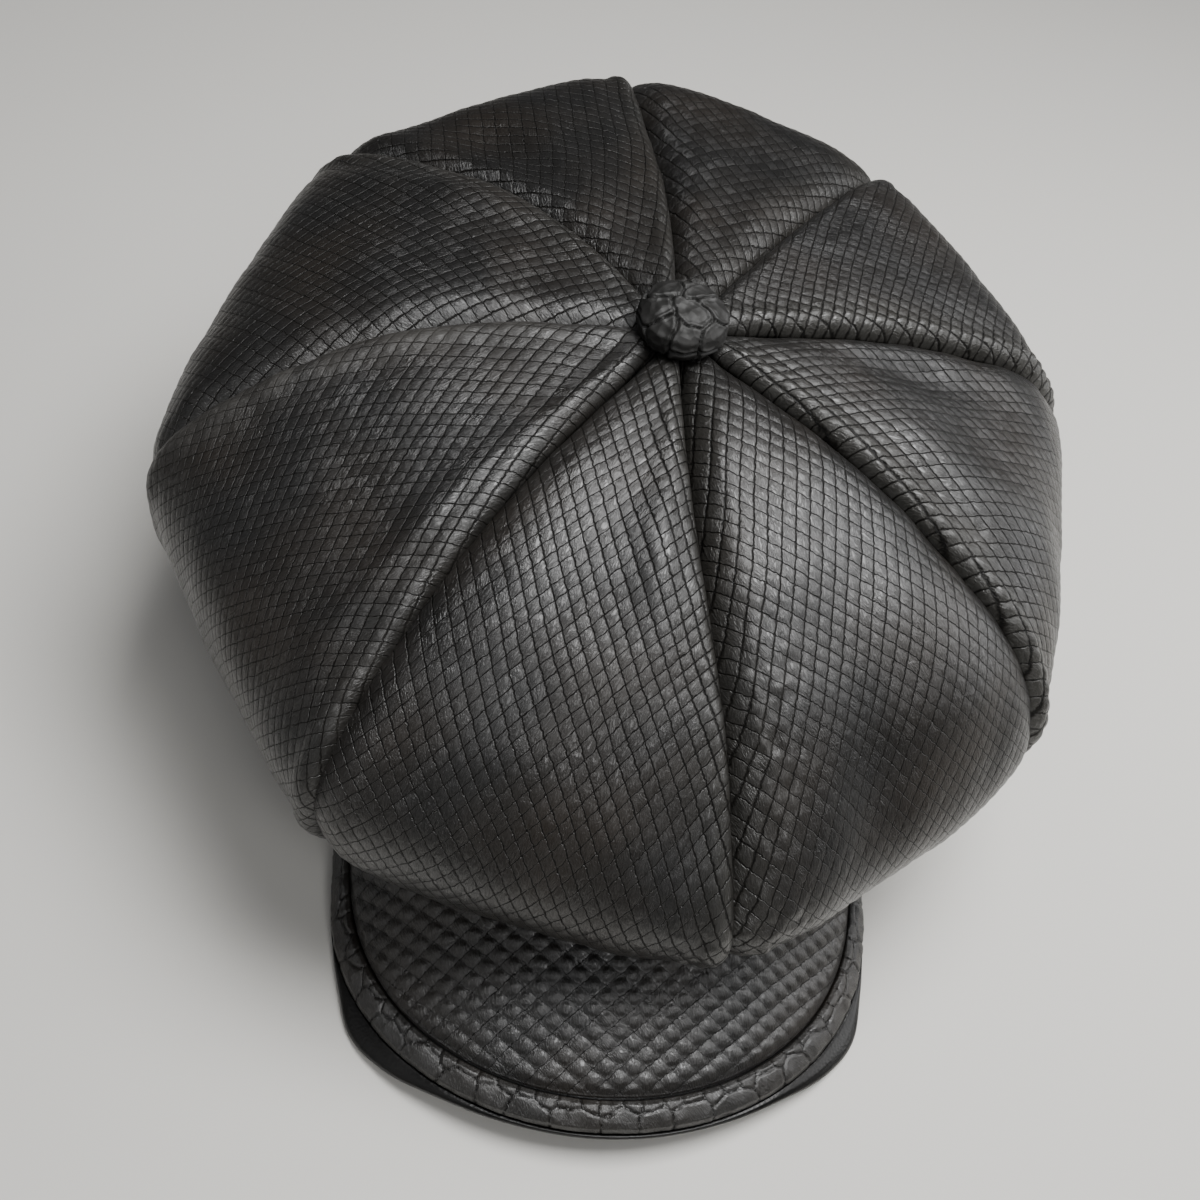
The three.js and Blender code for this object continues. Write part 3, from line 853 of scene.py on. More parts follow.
        duller = add(tree, "Math", rubbed, operation="MULTIPLY_ADD", use_clamp=True)
        feed(
            shader,
            {
                "Base Color": self.colour(tree, skin, plate, pad, wear),
                "Roughness": duller,
                "Normal": add(tree, "Bump", {"Height": height, "Strength": 1.0, "Distance": self.relief}),
                "Specular IOR Level": add(tree, "MapRange", shine),
                "Coat Weight": add(tree, "MapRange", coat),
            },
        )
        return material


@dataclass(frozen=True)
class PlainLeather:
    """Leather without scales: glossy dyed calf, or the matt suede side of a skin.

    Its grain of about a millimetre breaks up the light, and its colour and gloss are a little
    uneven, as on a dyed hide. grain is the grain's width in mm and relief its depth in metres.
    There are 60 uneven spots to a metre, so each is some 17 mm wide.
    """

    name: str
    colour: str
    roughness: float
    grain: float = 0.9
    spots: float = 60.0
    relief: float = 0.00006
    coat: float = 0.0
    coat_roughness: float = 0.2
    shine: float = 0.5

    def build(self) -> bpy.types.Material:
        """Makes the material.

        Returns:
            The material.
        """
        gloss = {"Coat_Weight": self.coat, "Coat_Roughness": self.coat_roughness}
        material, shader = new_material(self.name, Specular_IOR_Level=self.shine, **gloss)
        tree = material.node_tree
        place = add(tree, "TexCoord", out="Object")
        cells = {"Vector": place, "Scale": 1 / (self.grain * METRE)}
        grain = add(tree, "TexVoronoi", cells, feature="F1")
        uneven = add(tree, "TexNoise", {"Vector": place, "Scale": self.spots, "Detail": 4.0})
        tone = {"Factor": uneven, "A": linear("#000000"), "B": linear(self.colour)}
        rough = {"To Min": self.roughness - 0.05, "To Max": self.roughness + 0.08, **NOISE_SPAN}
        feed(
            shader,
            {
                "Base Color": add(tree, "Mix", tone, "Result", data_type="RGBA"),
                "Roughness": add(tree, "MapRange", {"Value": uneven, **rough}),
                "Normal": add(tree, "Bump", {"Height": grain, "Strength": 1.0, "Distance": self.relief}),
            },
        )
        return material


@dataclass(frozen=True)
class Finishes:
    """The cap's materials."""

    crown: bpy.types.Material
    peak: bpy.types.Material
    button: bpy.types.Material
    gloss: bpy.types.Material
    suede: bpy.types.Material


def make_finishes() -> Finishes:
    """Builds every material once.

    Returns:
        The materials.
    """
    # The peak's beads are padded, so the grooves between them are narrow and have no painted shade: their
    # colour is that of the rest
    beaded = ScaledLeather(
        name="beaded_snakeskin",
        groove_shade_colour="#0f0e0d",
        rim=0.0,
        groove=0.03,
        crease=3.0,
        dull=0.3,
    )
    # Large old scales, dry and dull, wrinkled every few millimetres
    wrinkled = PlainLeather("wrinkled_scale", "#1f1e1c", 0.58, grain=2.6, relief=0.0004)
    # Calf that is dyed black and polished: smooth, with a soft even shine
    calf = PlainLeather("glossy_calf", "#0f0e0d", 0.34, coat=0.08, shine=0.3)
    # The flesh side of the skin, whose short fibres scatter the light
    suede = PlainLeather("suede_back", "#2e2a27", 0.9, relief=0.0001)
    return Finishes(
        crown=ScaledLeather().build(),
        peak=beaded.build(),
        button=wrinkled.build(),
        gloss=calf.build(),
        suede=suede.build(),
    )


@dataclass(frozen=True)
class Part:
    """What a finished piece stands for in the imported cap."""

    node: str
    slot: str


def finish_piece(
    name: str, mesh: bpy.types.Mesh, part: Part, materials: list[bpy.types.Material]
) -> bpy.types.Object:
    """Puts a mesh in the scene as a piece of the cap.

    Args:
        name: the piece's name.
        mesh: its mesh, in metres in the cap's frame.
        part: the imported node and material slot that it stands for.
        materials: its materials, by face index.

    Returns:
        The piece.
    """
    for material in materials:
        mesh.materials.append(material)
    mesh.shade_smooth()
    piece = bpy.data.objects.new(name, mesh)
    bpy.context.scene.collection.objects.link(piece)
    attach(piece, "root")
    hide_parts(part.node)
    LOG.info("%s: %d faces", name, len(mesh.polygons))
    return piece


def mesh_from(bm: bmesh.types.BMesh, name: str) -> bpy.types.Mesh:
    """Makes a mesh of a bmesh.

    Args:
        bm: the bmesh, which is freed.
        name: the mesh's name.

    Returns:
        The mesh.
    """
    mesh = bpy.data.meshes.new(name)
    bm.to_mesh(mesh)
    bm.free()
    return mesh


def read(mesh: bpy.types.Mesh, what: str = "co") -> np.ndarray:
    """Reads three numbers of each vertex.

    Args:
        mesh: the mesh.
        what: "co" for its place or "normal" for its normal.

    Returns:
        A row for each vertex.
    """
    values = np.empty(len(mesh.vertices) * 3)
    mesh.vertices.foreach_get(what, values)
    return values.reshape(-1, 3)


def set_points(mesh: bpy.types.Mesh, points: np.ndarray, shift: np.ndarray) -> None:
    """Writes the vertices, turning millimetres round the headband into metres round the origin."""
    mesh.vertices.foreach_set("co", ((points + shift) * METRE).ravel())
    mesh.update()


def set_uv(mesh: bpy.types.Mesh, name: str, values: np.ndarray) -> None:
    """Writes a UV map.

    Args:
        mesh: the mesh.
        name: the map's name.
        values: a pair of values for each vertex.
    """
    layer = mesh.uv_layers.new(name=name)
    corner = np.empty(len(mesh.loops), int)
    mesh.loops.foreach_get("vertex_index", corner)
    layer.data.foreach_set("uv", values[corner].ravel())


def set_share(mesh: bpy.types.Mesh, name: str, values: np.ndarray) -> None:
    """Writes how worn, or how padded, the leather is at each vertex, from 0 to 1."""
    layer = mesh.attributes.new(name=name, type="FLOAT", domain="POINT")
    layer.data.foreach_set("value", np.clip(values, 0, 1).astype(float))


def sheet_grid(
    name: str, fine: tuple[int, int], coarse: tuple[int, int]
) -> tuple[bpy.types.Mesh, np.ndarray]:
    """A closed flat sheet in unit coordinates: a fine face, a coarse back, and a rim between.

    Args:
        name: the mesh's name.
        fine: cells across and along on the face.
        coarse: the same on the back.

    Returns:
        The mesh, whose back faces have material index 1, and each vertex's place as across,
        along and 0 on the face or 1 on the back.
    """
    bm = bmesh.new()
    bmesh.ops.create_grid(bm, x_segments=fine[0], y_segments=fine[1], size=0.5)
    lower = Matrix.Translation((0, 0, -1))
    back = bmesh.ops.create_grid(bm, x_segments=coarse[0], y_segments=coarse[1], size=0.5, matrix=lower)
    for vertex in back["verts"]:
        for face in vertex.link_faces:
            face.material_index = 1
    rims = [edge for edge in bm.edges if edge.is_boundary]
    bmesh.ops.bridge_loops(bm, edges=rims)
    bmesh.ops.recalc_face_normals(bm, faces=bm.faces)
    mesh = mesh_from(bm, name)
    place = read(mesh)
    place[:, :2] += 0.5
    place[:, 2] *= -1
    return mesh, place


def keep_outward(mesh: bpy.types.Mesh) -> None:
    """Turns a closed mesh's faces outwards.

    Args:
        mesh: the mesh.
    """
    bm = bmesh.new()
    bm.from_mesh(mesh)
    bmesh.ops.recalc_face_normals(bm, faces=bm.faces)
    bm.to_mesh(mesh)
    bm.free()


@dataclass
class CrownPanel:
    """One of the crown's eight panels, with its scales raised on a fine face.

    Beside a seam the leather dives: within proud_roll mm, after a ridge, on the panel that stands
    proud there, and within low_roll mm on the other. scale_rise and scale_tilt shape a scale. swell
    and pucker are the heights of soft unevenness in the middle and at the seams, and row_sway and
    run_sway are how far the rows of scales wander and over what length.
    """

    index: int
    shift: np.ndarray
    wall: float = 2.0
    first_run: float = 0.023
    seam_gap: float = 0.4
    cells: tuple[int, int] = (150, 300)
    back_cells: tuple[int, int] = (15, 30)
    proud_roll: float = 2.2
    low_roll: float = 10.0
    ridge_rise: float = 1.3
    ridge_away: float = 4.4
    scale_rise: float = 0.13
    scale_tilt: float = 0.14
    pucker: float = 0.5
    grow_reach: float = 9.0
    grow_run: float = 130.0
    pad_reach: float = 10.0
    ridge_wide: float = 3.4
    roll_reach: float = 15.0
    narrow: float = 15.0
    roll_end: tuple[float, float] = (0.86, 0.98)
    hem_wall: float = 2.5
    rows: int = 200
    columns: int = 40
    scale_edge: float = 2.5
    scale_round: float = 0.7
    swell: float = 0.4
    swell_size: float = 23.0
    pucker_size: float = 12.0
    pucker_reach: float = 9.0
    row_sway: tuple[float, float] = (0.4, 47)
    run_sway: tuple[float, float] = (0.5, 53)
    wrinkle_sizes: tuple[float, float] = (7.3, 4.1)
    edge_wear: float = 0.3

    def distances(self, across: np.ndarray, run: np.ndarray) -> tuple[np.ndarray, np.ndarray, np.ndarray]:
        """How the panel measures.

        Args:
            across: places across the panel.
            run: places along it.

        Returns:
            Distances from its first seam, from its second seam, and along its run, in mm.
        """
        runs = np.linspace(0, 1, self.rows + 1)
        shares = np.linspace(0, 1, self.columns + 1)
        share_grid, run_grid = np.meshgrid(shares, runs)
        points = CROWN.swollen(self.index, share_grid, np.maximum(run_grid, FIRST_RUN))
        steps = np.linalg.norm(np.diff(points, axis=1), axis=-1)
        widths = np.concatenate([np.zeros((len(runs), 1)), np.cumsum(steps, 1)], 1)
        centre = np.linalg.norm(np.diff(points[:, self.columns // 2], axis=0), axis=-1)
        length = np.concatenate([[0], np.cumsum(centre)])
        row = np.clip(run * self.rows, 0, self.rows - 0.001)
        column = np.clip(across * self.columns, 0, self.columns - 0.001)
        i = row.astype(int)
        j = column.astype(int)
        u = column - j
        v = row - i
        first = (widths[i, j] * (1 - u) + widths[i, j + 1] * u) * (1 - v)
        first += (widths[i + 1, j] * (1 - u) + widths[i + 1, j + 1] * u) * v
        total = widths[i, -1] * (1 - v) + widths[i + 1, -1] * v
        return first, total - first, np.interp(run, runs, length)

    def proud_sides(self) -> tuple[bool, bool]:
        """Whether the panel stands proud at its first and at its second seam."""
        return PROUD[self.index] is Side.SECOND, PROUD[(self.index + 1) % len(SEAMS)] is Side.FIRST

    def rolls(self) -> tuple[float, float]:
        """How deep its first and its second seam are drawn in."""
        return SEAMS[self.index].roll, SEAMS[(self.index + 1) % len(SEAMS)].roll

    def stretched(self, distance: np.ndarray, proud: bool, depth: float) -> np.ndarray:
        """Distance from a seam along the rolled leather instead of across it.

        Args:
            distance: distances across it.
            proud: whether the panel stands proud there.
            depth: how deep the seam is drawn in.

        Returns:
            The longer distances.
        """
        table = np.linspace(0, self.roll_reach, 301)
        drop = self.edge_drop(table, proud, depth)
        walked = np.concatenate([[0], np.cumsum(np.hypot(np.diff(table), np.diff(drop)))])
        return distance + np.interp(distance, table, walked - table)

    def edge_drop(self, distance: np.ndarray, proud: bool, depth: float) -> np.ndarray:
        """How far the leather dives beside a seam: a tight roll if it is proud, else a slope.

        Args:
            distance: distances from the seam.
            proud: whether the panel stands proud there.
            depth: how deep the seam is drawn in.

        Returns:
            The change of height, below 0 for a dive.
        """
        if proud:
            t = np.clip(distance / self.proud_roll, 0, 1)
            ridge = self.ridge_rise * np.exp(-(((distance - self.ridge_away) / self.ridge_wide) ** 2))
            return -depth * (1 - np.sqrt(np.maximum(1 - (1 - t) ** 2, 0))) + ridge
        t = np.clip(distance / self.low_roll, 0, 1)
        return -depth * (1 - t) ** 2

    def surface(self, across: np.ndarray, run: np.ndarray) -> tuple[np.ndarray, np.ndarray]:
        """The panel's outer face without its scales.

        Args:
            across: places across the panel.
            run: places along it.

        Returns:
            Points and outward normals.
        """
        first, second, _ = self.distances(across, run)
        width = first + second
        inset = np.clip(0.5 * self.seam_gap / np.maximum(width, 0.5), 0, 0.2)
        inside = 0.5 + (across - 0.5) * (1 - 2 * inset)
        first_proud, second_proud = self.proud_sides()
        first_roll, second_roll = self.rolls()
        low = self.edge_drop(first, first_proud, first_roll)
        high = self.edge_drop(second, second_proud, second_roll)
        fade = np.clip(width / self.narrow, 0, 1) * (1 - smooth_step(run, *self.roll_end))
        normal = CROWN.face_normal(self.index, inside, run)
        drop = (low + high) * fade
        return CROWN.swollen(self.index, inside, run) + normal * drop[..., None], normal

    def lattice(self, first: np.ndarray, second: np.ndarray, length: np.ndarray) -> np.ndarray:
        """Scale coordinates: the grooves between scales lie where either is a whole number.

        Args:
            first: distances from the panel's first seam.
            second: distances from its second seam.
            length: distances along its run.

        Returns:
            A pair of coordinates for each place.
        """
        skin = SKINS[self.index]
        first_proud, second_proud = self.proud_sides()
        first_roll, second_roll = self.rolls()
        first = self.stretched(first, first_proud, first_roll)
        second = self.stretched(second, second_proud, second_roll)
        near = self.grown_side(first, second)
        share = abs(skin.grow) / (1 + abs(skin.grow))
        taken = share * self.grow_reach * (1 - np.exp(-near / self.grow_reach))
        u = (first - second) / 2 - math.copysign(1, skin.grow) * taken
        u = u + self.row_sway[0] * waves(first - second, length, self.row_sway[1], skin.seed)
        v = length + self.run_sway[0] * waves(length, first - second, self.run_sway[1], skin.seed + 1)
        growth = (skin.broad - skin.fine) / self.grow_run
        size = skin.fine + growth * np.clip(v, 0, self.grow_run)
        rows = np.log(size / skin.fine) / growth + np.maximum(v - self.grow_run, 0) / skin.broad
        right = math.radians(skin.right)
        left = math.radians(skin.left)
        p = u * math.cos(right) / size - rows * math.sin(right)
        q = -u * math.cos(left) / size - rows * math.sin(left)
        return np.stack([q, p] if skin.left_wide else [p, q], -1)

    def rubbed(
        self, first: np.ndarray, second: np.ndarray, length: np.ndarray
    ) -> tuple[np.ndarray, np.ndarray]:
        """How worn the leather is and how high its wrinkles are, from the table of rough places.

        Args:
            first: distances from the panel's first seam.
            second: distances from its second seam.
            length: distances along its run.

        Returns:
            The wear from 0 to 1, and the height in mm.
        """
        wear = 0 * length
        crumple = 0 * length
        for rub in RUBS:
            if rub.panel == self.index:
                away = (first if rub.side is Side.FIRST else second) - rub.away
                share = np.exp(-((away / rub.wide) ** 2) - ((length - rub.along) / rub.long) ** 2)
                share = share * np.clip(0.75 + 0.6 * waves(first, length, 11, rub.along), 0, 1.3)
                wear = wear + rub.wear * share
                crumple = crumple + rub.crumple * share
        return wear, crumple

    def grown_side(self, first: np.ndarray, second: np.ndarray) -> np.ndarray:
        """Distance from the seam towards which the scales get larger."""
        return first if SKINS[self.index].grow > 0 else second

    def build(self, finishes: Finishes) -> bpy.types.Object:
        """Makes the panel.

        Args:
            finishes: the cap's materials.

        Returns:
            The piece.
        """
        name = f"panel_leather_{self.index + 1}"
        mesh, place = sheet_grid(name, self.cells, self.back_cells)
        across = place[:, 0]
        run = self.first_run + (1 - self.first_run) * place[:, 1]
        back = place[:, 2] > 0.5
        points, normal = self.surface(across, run)
        first, second, length = self.distances(across, run)
        edge = np.minimum(first, second)
        lattice = self.lattice(first, second, length)
        padded = np.exp(-((self.grown_side(first, second) / self.pad_reach) ** 2))
        padded = padded * smooth_step(length, 4, 22)
        worn, crumple = self.rubbed(first, second, length)
        rise = self.scale_relief(lattice, padded) * np.clip(edge / self.scale_edge, 0, 1)
        swell = self.swell * waves(first, length, self.swell_size, self.index + 0.5)
        rise += swell * np.clip(edge / 8, 0, 1)
        pucker = self.pucker * waves(0.35 * edge, length, self.pucker_size, self.index + 2.5)
        rise += pucker * np.exp(-edge / self.pucker_reach)
        long, short = self.wrinkle_sizes
        wrinkles = waves(first, length, long, self.index) + 0.6 * waves(length, first, short, 3)
        rise += crumple * wrinkles / 1.6
        rise *= 1 - smooth_step(run, 0.97, 1)
        points = points + normal * np.where(back, -self.wall, rise)[:, None]
        hem = back & (run > 0.999)
        points[hem] = self.hem_back(across[hem], run[hem])
        set_points(mesh, points, self.shift)
        keep_outward(mesh)
        set_uv(mesh, "lattice", lattice)
        set_uv(mesh, "skin", np.stack([first, length], -1))
        rubbed = self.edge_wear * np.exp(-((edge / self.scale_edge) ** 2))
        rubbed = rubbed * (0.5 + 0.5 * waves(first, length, 9, self.index))
        set_share(mesh, "wear", worn + rubbed)
        # The pad share also colours the raised leather paler: a painted highlight
        set_share(mesh, "pad", padded * min(1, 0.5 * SKINS[self.index].pad))
        part = Part(f"crown_panel_{self.index + 1}", "crown_leather")
        return finish_piece(name, mesh, part, [finishes.crown, finishes.suede])

    def scale_relief(self, lattice: np.ndarray, padded: np.ndarray) -> np.ndarray:
        """How high the scales stand: each is a cushion that also tilts up to one corner.

        Args:
            lattice: scale coordinates.
            padded: how much the leather is raised, from 0 to 1.

        Returns:
            Heights in mm, 0 in the grooves.
        """
        cell = lattice - np.floor(lattice)
        pillow = (np.sin(math.pi * cell[:, 0]) * np.sin(math.pi * cell[:, 1])) ** self.scale_round
        pads = SKINS[self.index].pad * padded
        return pillow * (self.scale_rise * (1 + pads) + self.scale_tilt * (1 - cell.mean(-1)))

    def hem_back(self, across: np.ndarray, run: np.ndarray) -> np.ndarray:
        """The inner edge of the hem, which is level with the outer one on the band's top.

        Args:
            across: places across the panel, from 0 to 1.
            run: places along its run, at its end.

        Returns:
            The points.
        """
        centre = FRAME.on_band(np.zeros(1), np.zeros(1), np.full(1, FRAME.height + FRAME.gap))[0]
        outer = self.surface(across, run)[0]
        return outer - unit(outer - centre) * self.hem_wall


@dataclass
class Crown:
    """The eight panels."""

    shift: np.ndarray

    def build(self, finishes: Finishes) -> list[bpy.types.Object]:
        """Makes the panels in the order of the seams.

        Args:
            finishes: the cap's materials.

        Returns:
            The pieces.
        """
        return [CrownPanel(index, self.shift).build(finishes) for index in range(len(SEAMS))]


@dataclass
class Button:
    """The covered button: scaled leather drawn over a domed form, with its creases.

    outline is the form's radius and height, dome the middles of the scales on top. Between two
    scales the cover is creased by creases mm, and curl is how much their edges lift.
    """

    shift: np.ndarray
    tilt: float = math.radians(6)
    seat: float = 0.8
    outline: tuple[tuple[float, float], ...] = (
        (0, -4),
        (4.2, -4),
        (4.2, 0),
        (10.6, 0),
        (12.1, 1.8),
        (12.4, 4.3),
        (11.8, 7),
        (9.4, 9.3),
        (5.3, 10.4),
        (0, 10.6),
    )
    turns: int = 160
    creases: float = 1.5
    crack_wide: float = 0.7
    curl: float = 0.35
    curl_away: float = 1.5
    curl_wide: float = 0.7
    cover: float = 0.4
    covered: tuple[float, float] = (0.2, 1.5)
    wander: float = 1.4
    swell: float = 0.3
    side_out: float = 12.6
    dome: tuple[tuple[float, float, float], ...] = (
        (2.4, -3.2, 10.2),
        (-8.2, -1.6, 8.5),
        (0.6, -10.8, 6.5),
        (8.0, -8.6, 6.0),
        (8.6, 0.8, 8.6),
        (-0.9, 10.5, 7.5),
        (4.6, 6.0, 9.2),
        (-5.4, 6.4, 8.6),
        (-6.6, -8.8, 6.4),
    )

    def build(self, finishes: Finishes) -> bpy.types.Object:
        """Makes the button by spinning its outline and creasing it.

        Args:
            finishes: the cap's materials.

        Returns:
            The piece.
        """
        bm = bmesh.new()
        corners = [bm.verts.new((r, 0, z)) for r, z in self.outline]
        edges = [bm.edges.new(pair) for pair in zip(corners, corners[1:])]
        bmesh.ops.subdivide_edges(bm, edges=edges, cuts=9, smooth=0)
        bmesh.ops.spin(
            bm,
            geom=list(bm.verts) + list(bm.edges),
            cent=(0, 0, 0),
            axis=(0, 0, 1),
            angle=2 * math.pi,
            steps=self.turns,
            use_merge=True,
        )
        bmesh.ops.remove_doubles(bm, verts=bm.verts, dist=0.01)
        dome = [v for v in bm.verts if v.co.z > 1]
        bmesh.ops.smooth_vert(bm, verts=dome, factor=0.5, use_axis_x=True, use_axis_y=True, use_axis_z=True)
        bmesh.ops.recalc_face_normals(bm, faces=bm.faces)
        bm.normal_update()
        mesh = mesh_from(bm, "button_leather")
        points = read(mesh)
        normal = read(mesh, "normal")
        x, y, z = points.T
        ripple = np.stack([waves(y, z, 9, 1), waves(x, z, 8, 2), 0 * x], -1)
        wandered = points + self.wander * ripple
        away = np.sort(np.linalg.norm(wandered[:, None] - self.plates()[None], axis=-1), axis=1)
        gap = away[:, 1] - away[:, 0]
        crack = smooth_step(gap, 0, self.crack_wide) - 1
        curled = self.curl * np.exp(-(((gap - self.curl_away) / self.curl_wide) ** 2))
        rise = self.cover + self.creases * crack + curled + self.swell * waves(x, y, 4.2, 3)
        points = points + normal * (rise * smooth_step(z, *self.covered))[:, None]
        points = points @ np.array(Matrix.Rotation(self.tilt, 3, "X")).T
        top = np.array([CROWN.top[0], CROWN.top[1], CROWN.top[2] + self.seat])
        set_points(mesh, points + top, self.shift)
        return finish_piece("button_leather", mesh, Part("button", "crown_leather"), [finishes.button])

    def plates(self) -> np.ndarray:
        """The middles of the large scales on the button: nine on its dome and seven on its side.

        Returns:
            A point for each scale.
        """
        turns = [math.radians(52 * i + 14 * math.sin(4.1 * i)) for i in range(7)]
        out = self.side_out
        side = [(out * math.cos(a), out * math.sin(a), 1.4 + math.sin(3.3 * a)) for a in turns]
        return np.array([*self.dome, *side])


@dataclass
class Headband:
    """The upright band that the crown and the peak are sewn to."""

    shift: np.ndarray
    wall: float = 3.0
    edge_round: float = 0.9
    turns: int = 144
    ring: float = 100.0
    bulge: float = 0.3

    def build(self, finishes: Finishes) -> bpy.types.Object:
        """Makes the band by spinning its section round the head.

        Args:
            finishes: the cap's materials.

        Returns:
            The piece.
        """
        bm = bmesh.new()
        corners = [(0, 0), (0, FRAME.height), (-self.wall, FRAME.height), (-self.wall, 0)]
        # The section is spun on a small round ring, which is drawn out to the band's oval after
        verts = [bm.verts.new((1 + x / self.ring, 0, z / self.ring)) for x, z in corners]
        section = bm.faces.new(verts)
        upright = [e for e in section.edges if abs(e.verts[0].co.z - e.verts[1].co.z) > 0.1]
        bmesh.ops.subdivide_edges(bm, edges=upright, cuts=15)
        loop = [e for e in bm.edges if e.is_boundary]
        for face in list(bm.faces):
            bmesh.ops.delete(bm, geom=[face], context="FACES_ONLY")
        spun = list(dict.fromkeys(v for e in loop for v in e.verts))
        bmesh.ops.spin(
            bm,
            geom=spun + loop,
            cent=(0, 0, 0),
            axis=(0, 0, 1),
            angle=2 * math.pi,
            steps=self.turns,
            use_merge=True,
        )
        bmesh.ops.remove_doubles(bm, verts=bm.verts, dist=1e-5)
        bmesh.ops.delete(bm, geom=[e for e in bm.edges if e.is_wire], context="EDGES")
        rims = [e for e in bm.edges if e.calc_face_angle(0) > 1.2]
        bmesh.ops.bevel(
            bm,
            geom=rims,
            offset=self.edge_round / self.ring,
            segments=3,
            profile=0.5,
            affect="EDGES",
            material=-1,
        )
        mesh = mesh_from(bm, "headband_leather")
        x, y, z = read(mesh).T
        angle = np.arctan2(y, x)
        grow = (np.hypot(x, y) - 1) * self.ring
        height = z * self.ring
        bulge = self.bulge * waves(angle * 95, height, 60, 2.2)
        bulge = bulge * np.sin(math.pi * np.clip(height / FRAME.height, 0, 1))
        set_points(mesh, FRAME.outline(angle, grow + bulge, height), self.shift)
        keep_outward(mesh)
        part = Part("headband", "smooth_leather")
        return finish_piece("headband_leather", mesh, part, [finishes.gloss])


def loop_rows(name: str, around: int, along: int) -> tuple[bpy.types.Mesh, np.ndarray]:
    """A flat grid that is to be rolled into a tube.

    Args:
        name: the mesh's name.
        around: cells round the tube.
        along: cells along it.

    Returns:
        The mesh, and each vertex's place round and along it, from 0 to 1.
    """
    bm = bmesh.new()
    bmesh.ops.create_grid(bm, x_segments=around, y_segments=along, size=0.5)
    mesh = mesh_from(bm, name)
    return mesh, read(mesh)[:, :2] + 0.5


def close_tube(mesh: bpy.types.Mesh) -> None:
    """Joins a rolled grid along its length and caps its ends.

    Args:
        mesh: the grid's mesh, already rolled.
    """
    bm = bmesh.new()
    bm.from_mesh(mesh)
    bmesh.ops.remove_doubles(bm, verts=bm.verts, dist=1e-6)
    bmesh.ops.holes_fill(bm, edges=[e for e in bm.edges if e.is_boundary], sides=0)
    caps = [f for f in bm.faces if len(f.verts) > 4]
    bmesh.ops.triangulate(bm, faces=caps)
    bmesh.ops.recalc_face_normals(bm, faces=bm.faces)
    bm.to_mesh(mesh)
    bm.free()


def section_at(
    shares: np.ndarray, corners: list[tuple[np.ndarray, np.ndarray]]
) -> tuple[np.ndarray, np.ndarray]:
    """Walks round a closed section whose corners vary along the piece.

    Args:
        shares: where on the way round each vertex is, from 0 to 1.
        corners: distance and height of each corner, each an array over the vertices.

    Returns:
        Distance and height of each vertex.
    """
    count = len(corners)
    spot = np.clip(shares, 0, 1) * count
    i = np.minimum(spot.astype(int), count - 1)
    t = spot - i
    walked = []
    for part in (0, 1):
        ring = np.stack([corner[part] for corner in [*corners, corners[0]]], -1)
        low = np.take_along_axis(ring, i[:, None], 1)[:, 0]
        high = np.take_along_axis(ring, i[:, None] + 1, 1)[:, 0]
        walked.append(low * (1 - t) + high * t)
    return walked[0], walked[1]


@dataclass(frozen=True)
class PlateRow:
    """A row of large scales along the peak's border.

    pace is their spacing in mm and across their place over the border's width. Both sway a
    little from scale to scale. Scales with a handicap end nearer to their own middle.
    """

    pace: float
    sway: float
    sway_rate: float
    across: float
    swing: float
    swing_rate: float
    handicap: float = 0

    def seeds(self, total: float) -> np.ndarray:
        """The middles of the scales.

        Args:
            total: the border's length in mm.

        Returns:
            For each scale its distance along the border, its share across, and its handicap.
        """
        i = np.arange(int(total / self.pace) + 2)
        along = self.pace * i + self.sway * np.sin(self.sway_rate * i)
        across = self.across + self.swing * np.sin(self.swing_rate * i)
        return np.stack([along, across, np.full(len(i), self.handicap)], -1)


